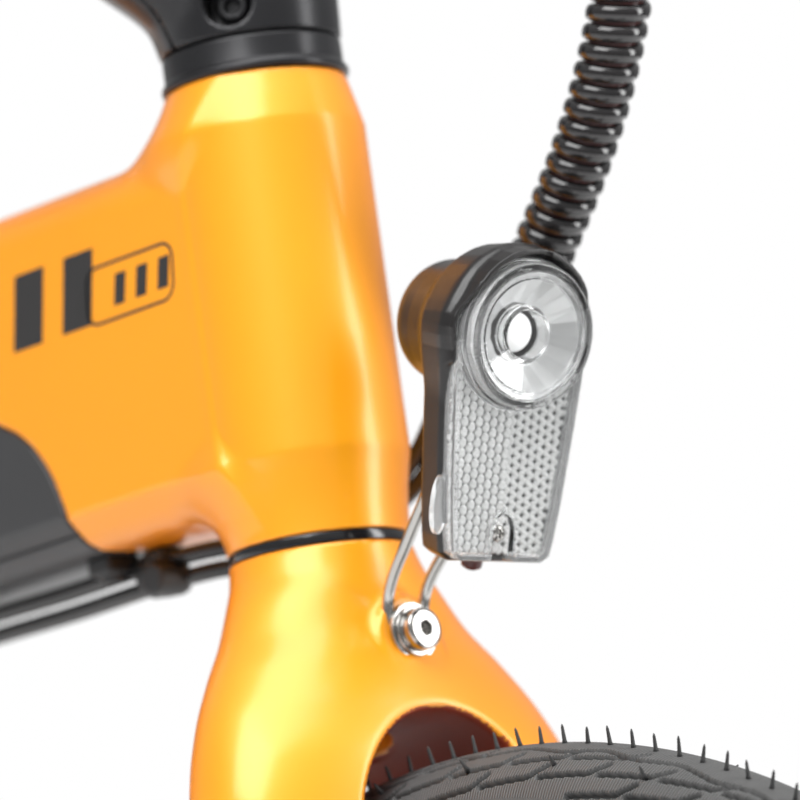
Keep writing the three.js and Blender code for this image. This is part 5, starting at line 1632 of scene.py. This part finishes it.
def sprocket(x, y, z):
    r, a = np.hypot(x, z), np.arctan2(z, x)
    d = smin(toothed(x, y, z, SPROCKET_R, 16, 1.4), disc(r, y, 21.5, -1, 6.4, 0.6), 0.8)
    d = smin(d, disc(r, y, 19, -5.8, 0, 0.6), 0.6)
    notch = smax(smax(abs(r - 16.5) - 1.8, abs(((a / TAU * 4 + 0.5) % 1 - 0.5) * TAU / 4 * 16.5) - 2, 0.3),
                 y + 3.8, 0.2)
    return smax(smax(d, -notch, 0.3), 6.6 - r, 0.3)


cast("freewheel_sprocket", sprocket, (-36, -6.6, -36), (36, 7, 36), 0.7, HUBSIDE, STEEL, "freewheel",
     "freewheel", slot="steel")

CRANK = 165                         # length of a crank


def crank_arm(d, y, z):
    """Forged arm: d runs out along the arm, y away from the bicycle."""
    mid = 70 + d * 0.05
    half_z = curve(d, [-18, 0, 22, 70, 140, 165, 178], [14, 18, 14.5, 12.2, 11, 12, 9])
    half_y = curve(d, [-18, 0, 22, 178], [7, 7.4, 6.8, 5.8])
    e = ((abs(z) / half_z) ** 3 + (abs(y - mid) / half_y) ** 3) ** (1 / 3) - 1
    arm = smax(e * half_y, abs(d - 80.5) - 96, 5)
    boss = disc(np.hypot(d, z), y, 18.5, 63, 78, 1.6)
    eye = disc(np.hypot(d - CRANK, z), y, 12.5, 74, 84, 1.4)
    arm = smin(smin(arm, boss, 3), eye, 3)
    groove = smax(smax(abs(z) - 4.6, abs(d - 82) - 52, 3), mid + 4.6 - y, 0.6)
    arm = smax(arm, -groove, 1.2)
    cap = disc(np.hypot(d, z), y, 11, 74.5, 90, 0.5)
    return smax(arm, -cap, 0.6)


for side, s in (("left", 1), ("right", -1)):
    base = Axes(BIKE(0, 0, HIGH), X * s, Y * s, Z)

    def arm_and_axle(d, y, z, s=s):
        out = crank_arm(d, y, z)
        if s > 0:
            out = np.minimum(out, disc(np.hypot(d, z), y, 9.6, -62, 76, 0.6))
        return np.minimum(out, disc(np.hypot(d - CRANK, z), y, 7, 74, 96, 0.6))

    cast(f"crank_arm_{side}", arm_and_axle, (-22, -64 if s > 0 else 56, -21), (182, 98, 21), 1.1, base,
         ALLOY, "crank", f"crank_{side}", slot="alloy")
    turned(f"crank_bolt_cap_{side}", BIKE(0, 0, HIGH), Y * s,
           [(9.6, 76.2), (9.6, 77.2), (7, 78), (4.4, 78), (4.2, 77), (4.2, 76.2)], STEEL, "crank",
           slot="steel", sides=40)


def pedal(x, y, z):
    """Folding platform: a cast frame with two windows, raised grip bars and pins; y runs outwards."""
    outline = [(-46, 109), (46, 109), (46, 179), (32, 189), (-32, 189), (-46, 179)]
    d = smax(poly(x, y, outline), abs(z) - 10.4, 1.6)
    hole = poly(abs(x), y, [(6.5, 120), (36, 120), (36, 172), (29, 179), (6.5, 179)]) + 2
    d = smax(d, -hole, 1.5)
    waist = smax(smax(abs(x) - 30, abs(y - 149) - 33, 1), 7.2 - abs(z), 0.6)
    d = smax(d, -waist, 1)
    for k in range(3):
        d = smin(d, block(abs(x), y, z, (21, 131 + 17 * k, 0), (16, 1.6, 8.6), 0.8), 0.8)
    pin_r = np.sqrt((abs(x) - 40.5) ** 2 + (((y - 116) / 15.5 + 0.5) % 1 * 15.5 - 7.75) ** 2)
    pin = smax(smax(pin_r - 1.9, abs(z) - 11, 0.3), abs(y - 147) - 38, 0.3)
    d = np.minimum(d, pin)
    return np.minimum(d, block(x, y, z, (0, 109, 8), (12, 3.8, 3), 1))


def pedal_joint(x, y, z):
    d = block(x, y, z, (0, 93, 0), (15, 7, 11), 3)
    barrel = disc(np.hypot(y - 99.5, z - 10), x, 5, -12, 12, 0.8)
    d = smin(d, barrel, 1.5)
    latch = block(x, y, z, (0, 96, -7.5), (6, 5, 2.4), 1)
    return smin(d, latch, 0.6)


REFLECTOR = surface("amber_reflector", (0.75, 0.19, 0.01), 0.16, coat=0.6, grain=1.2, depth=0.05, mottle=4,
                    shift=0.25)
for side, s in (("left", 1), ("right", -1)):
    base = Axes(BIKE(s * CRANK, 0, HIGH), X, Y * s, Z * s)
    cast(f"pedal_platform_{side}", pedal, (-48, 104, -12), (48, 191, 12.5), 1.0, base, MATT,
         f"pedal_{side}", f"pedal_{side}", slot="black")
    cast(f"pedal_joint_{side}", pedal_joint, (-17, 84, -13), (17, 106, 17), 0.9, base, ANOD,
         f"pedal_block_{side}", f"pedal_block_{side}", slot="satin_black")
    for k in (1, -1):
        c = (k * 46.2, 146, 0)
        cast(f"pedal_reflector_{side}_{'front' if k > 0 else 'rear'}",
             lambda x, y, z, c=c: block(x, y, z, c, (1.6, 22, 6), 0.8),
             (c[0] - 3, 122, -8), (c[0] + 3, 170, 8), 0.7, base, REFLECTOR, f"pedal_{side}", slot="lens")


# ---- stand, callipers, latches, rear cable ---------------------------------------------------------------
STAND_PIVOT = np.array((-318, 90, 240))
STAND_AXIS = np.array((0.067, 0.926, 0.372))


def stand(x, y, z):
    """The leg of the stand, from its eye down to a flat foot."""
    # The eye at the top is square to the hinge line, so it keeps clear of its bracket all the way round.
    top, foot_end = STAND_PIVOT + 7.5 * STAND_AXIS, (-300, 178, 6)
    d = runs(x, y, z, [top, (-316, 107, 211), foot_end], (7.9, 7.6, 6.2), 3)
    d = smin(d, rod(x, y, z, STAND_PIVOT + 1.4 * STAND_AXIS, STAND_PIVOT + 11.5 * STAND_AXIS, 9.6, 1.5), 2)
    foot = block(x, y, z, (-300, 178, 4.6), (16, 11, 4.4), 3.5)
    d = smin(d, foot, 5)
    return smax(d, 0.1 - z, 0.2)


cast("stand_leg", stand, (-332, 84, -1), (-282, 191, 254), 1.3, BIKE, ANOD, "kickstand", "kickstand",
     slot="satin_black")


def calliper_piece(name, node, body, wheel_c, disc_y):
    """A two-piston brake body, slotted for the disc that runs at `disc_y`."""
    lo, hi = box_mm(node)
    c, half = (lo + hi) / 2, (hi - lo) / 2

    def field(x, y, z):
        d = block(x, y, z, (0, 0, 0), half, 4)
        wx, wz = c[0] + x - wheel_c[0], c[2] + z - wheel_c[2]
        d = smax(d, -smax(np.hypot(wx, wz) - 82.5, abs(y - disc_y + c[1]) - 2.2, 0.2), 0.4)
        for k in (-1, 1):
            d = smin(d, disc(np.hypot(x, z - k * half[2] * 0.55), abs(y), 4.4, 0, half[1] + 0.2, 0.6), 0.4)
        cap = disc(np.hypot(x, z), y, 7.2, -half[1] - 0.2, -half[1] + 4, 0.6)
        groove = smax(abs(np.hypot(x, z) - 8.4) - 0.7, -half[1] + 1.2 - y, 0.2)
        groove = smax(groove, y + half[1] - 1.2, 0.2)
        return smin(smax(d, -groove, 0.3), cap, 0.4)

    cast(name, field, -half - 1.5, half + 1.5, 0.8, Axes(c, X, Y, Z), ANOD, body, node, slot="satin_black")


calliper_piece("front_calliper_body", "front_caliper", "fork", FRONT, 36.5)
calliper_piece("rear_calliper_body", "rear_caliper", "rear_frame", REAR, 53.2)


def frame_latch(x, y, z):
    """The blade of the latch that locks the frame hinge."""
    mid_y = -50 - 1.5 * ease((x - 150) / 30)
    mid_z = 489 + (x - 118) * 0.33
    half = curve(x, [112, 118, 132, 163, 190, 200], [11, 13.5, 15.5, 13, 9, 5])
    d = smax(smax(abs(z - mid_z) - half, abs(y - mid_y) - 3.6, 2.4), abs(x - 156) - 44, 3)
    rib = smax(smax(abs(z - mid_z) - half * 0.42, abs(x - 160) - 26, 3), y - mid_y + 2.5, 0.6)
    d = smax(d, -rib, 0.8)
    hub = disc(np.hypot(x - 118, y + 50), z, 6.5, 466, 512, 1)
    return smin(d, hub, 2)


cast("frame_latch_blade", frame_latch, (109, -58, 464), (203, -42, 532), 0.9, BIKE, ANOD, "frame_latch",
     "frame_latch_lever", slot="satin_black")
place(tube("rear_brake_hose",
           [BIKE(*p) for p in ((88, 22, 424), (40, 30, 412), (0, 33, 385), (-70, 32, 330), (-150, 52, 290),
                               (-250, 69, 283), (-340, 72, 300))], 2.5, CABLE, 16, 120), "rear_frame",
      "rear_cable", slot="rubber")


# ---- finish of the CAD nodes that stay ------------------------------------------------------------------
NODE_SLOT = {s["node"]: s["material_slot"] for s in frame["record"]["subparts"]}
for name, ob in frame["nodes"].items():
    if ob.hide_render:
        continue
    ob.data.materials.clear()
    ob.data.materials.append(SLOT_FINISH[NODE_SLOT[name]])
    crisp(ob, 30)
    mod = ob.modifiers.new("soft_edges", "BEVEL")
    mod.width, mod.segments, mod.limit_method, mod.angle_limit = 0.7 * MM, 2, "ANGLE", math.radians(40)
    mod.harden_normals = True

# ---- floor, light and camera -----------------------------------------------------------------------------
FLOOR_R = 2.6
bpy.ops.mesh.primitive_circle_add(vertices=96, radius=FLOOR_R, fill_type="NGON", location=(0, 0, 0))
floor = bpy.context.object
floor.name = "studio_floor"
pale = surface("pale_floor", (0.82, 0.82, 0.82), 0.7, grain=2, depth=0.01, mottle=900, shift=0.01)
# Towards its edge the floor glows softly, so it runs into the white background without a line.
spot, dist, glow = nodes_in(pale.node_tree, "NewGeometry", "VectorMath", "MapRange")
dist.operation, glow.interpolation_type = "LENGTH", "SMOOTHERSTEP"
glow.inputs["From Min"].default_value, glow.inputs["From Max"].default_value = 1.0, 2.5
pale.node_tree.links.new(spot.outputs["Position"], dist.inputs[0])
pale.node_tree.links.new(dist.outputs["Value"], glow.inputs["Value"])
shine = pale.node_tree.nodes["Principled BSDF"].inputs
shine["Emission Color"].default_value = (1, 1, 1, 1)
pale.node_tree.links.new(glow.outputs["Result"], shine["Emission Strength"])
floor.data.materials.append(pale)

world = bpy.data.worlds.new("studio")
bpy.context.scene.world = world
world.use_nodes = True
wn = world.node_tree
bg = wn.nodes["Background"]
coords, sep, ramp, path_in, seen = nodes_in(wn, "TexCoord", "SeparateXYZ", "ValToRGB", "LightPath", "Mix")
wn.links.new(coords.outputs["Generated"], sep.inputs[0])
wn.links.new(sep.outputs["Z"], ramp.inputs[0])
for stop, (position, grey) in zip(ramp.color_ramp.elements, ((0.0, 0.3), (0.9, 0.6))):
    stop.position, stop.color = position, (grey, grey, grey, 1)
seen.data_type = "RGBA"
wn.links.new(path_in.outputs["Is Camera Ray"], seen.inputs[0])
wn.links.new(ramp.outputs[0], seen.inputs[6])
seen.inputs[7].default_value = (1, 1, 1, 1)
wn.links.new(seen.outputs[2], bg.inputs["Color"])
bg.inputs["Strength"].default_value = 1.0

AIM = np.array([472.8, 15.7, 582.9]) + BIKE.o
AZIMUTH, ELEVATION, ROLL, DISTANCE, LENS_MM = 48.0, 3.7, 4.5, 2200.0, 360.4
FOCUS_AHEAD, F_STOP = 95, 11        # the lamp is the sharpest part
az, el, roll = (math.radians(v) for v in (AZIMUTH, ELEVATION, ROLL))
back = np.array([math.sin(az) * math.cos(el), -math.cos(az) * math.cos(el), math.sin(el)])
right = np.array([math.cos(az), math.sin(az), 0])
up = np.cross(back, right)
right, up = right * math.cos(roll) + up * math.sin(roll), up * math.cos(roll) - right * math.sin(roll)


def linked(name, data, at):
    ob = bpy.data.objects.new(name, data)
    bpy.context.scene.collection.objects.link(ob)
    ob.location = Vector(at * MM)
    return ob


def light(name, at, size, watts):
    """A soft box facing the head of the bicycle; size in metres."""
    data = bpy.data.lights.new(name, "AREA")
    data.shape, data.size, data.size_y, data.energy = "RECTANGLE", size[0], size[1], watts
    linked(name, data, at).rotation_euler = Vector((at - AIM) * MM).to_track_quat("Z", "Y").to_euler()


light("key_softbox", AIM - 800 * right + 1100 * back + 1500 * up, (1.5, 1.1), 36)
light("top_softbox", AIM + np.array([100, 0, 1900]), (2.0, 1.5), 40)
light("rim_strip", AIM + 1700 * right + 300 * back + 500 * up, (0.5, 1.6), 20)

cam_data = bpy.data.cameras.new("main_camera")
cam = linked("main_camera", cam_data, AIM + DISTANCE * back)
cam.rotation_euler = Matrix([right, up, back]).transposed().to_euler()
cam_data.sensor_width, cam_data.lens = 36, LENS_MM
cam_data.clip_start, cam_data.clip_end = 0.05, 60
cam_data.dof.use_dof = True
cam_data.dof.focus_object = linked("focus_point", None, AIM + FOCUS_AHEAD * back)
cam_data.dof.aperture_fstop = F_STOP
bpy.context.scene.camera = cam
bpy.context.scene.view_settings.view_transform = "Standard"
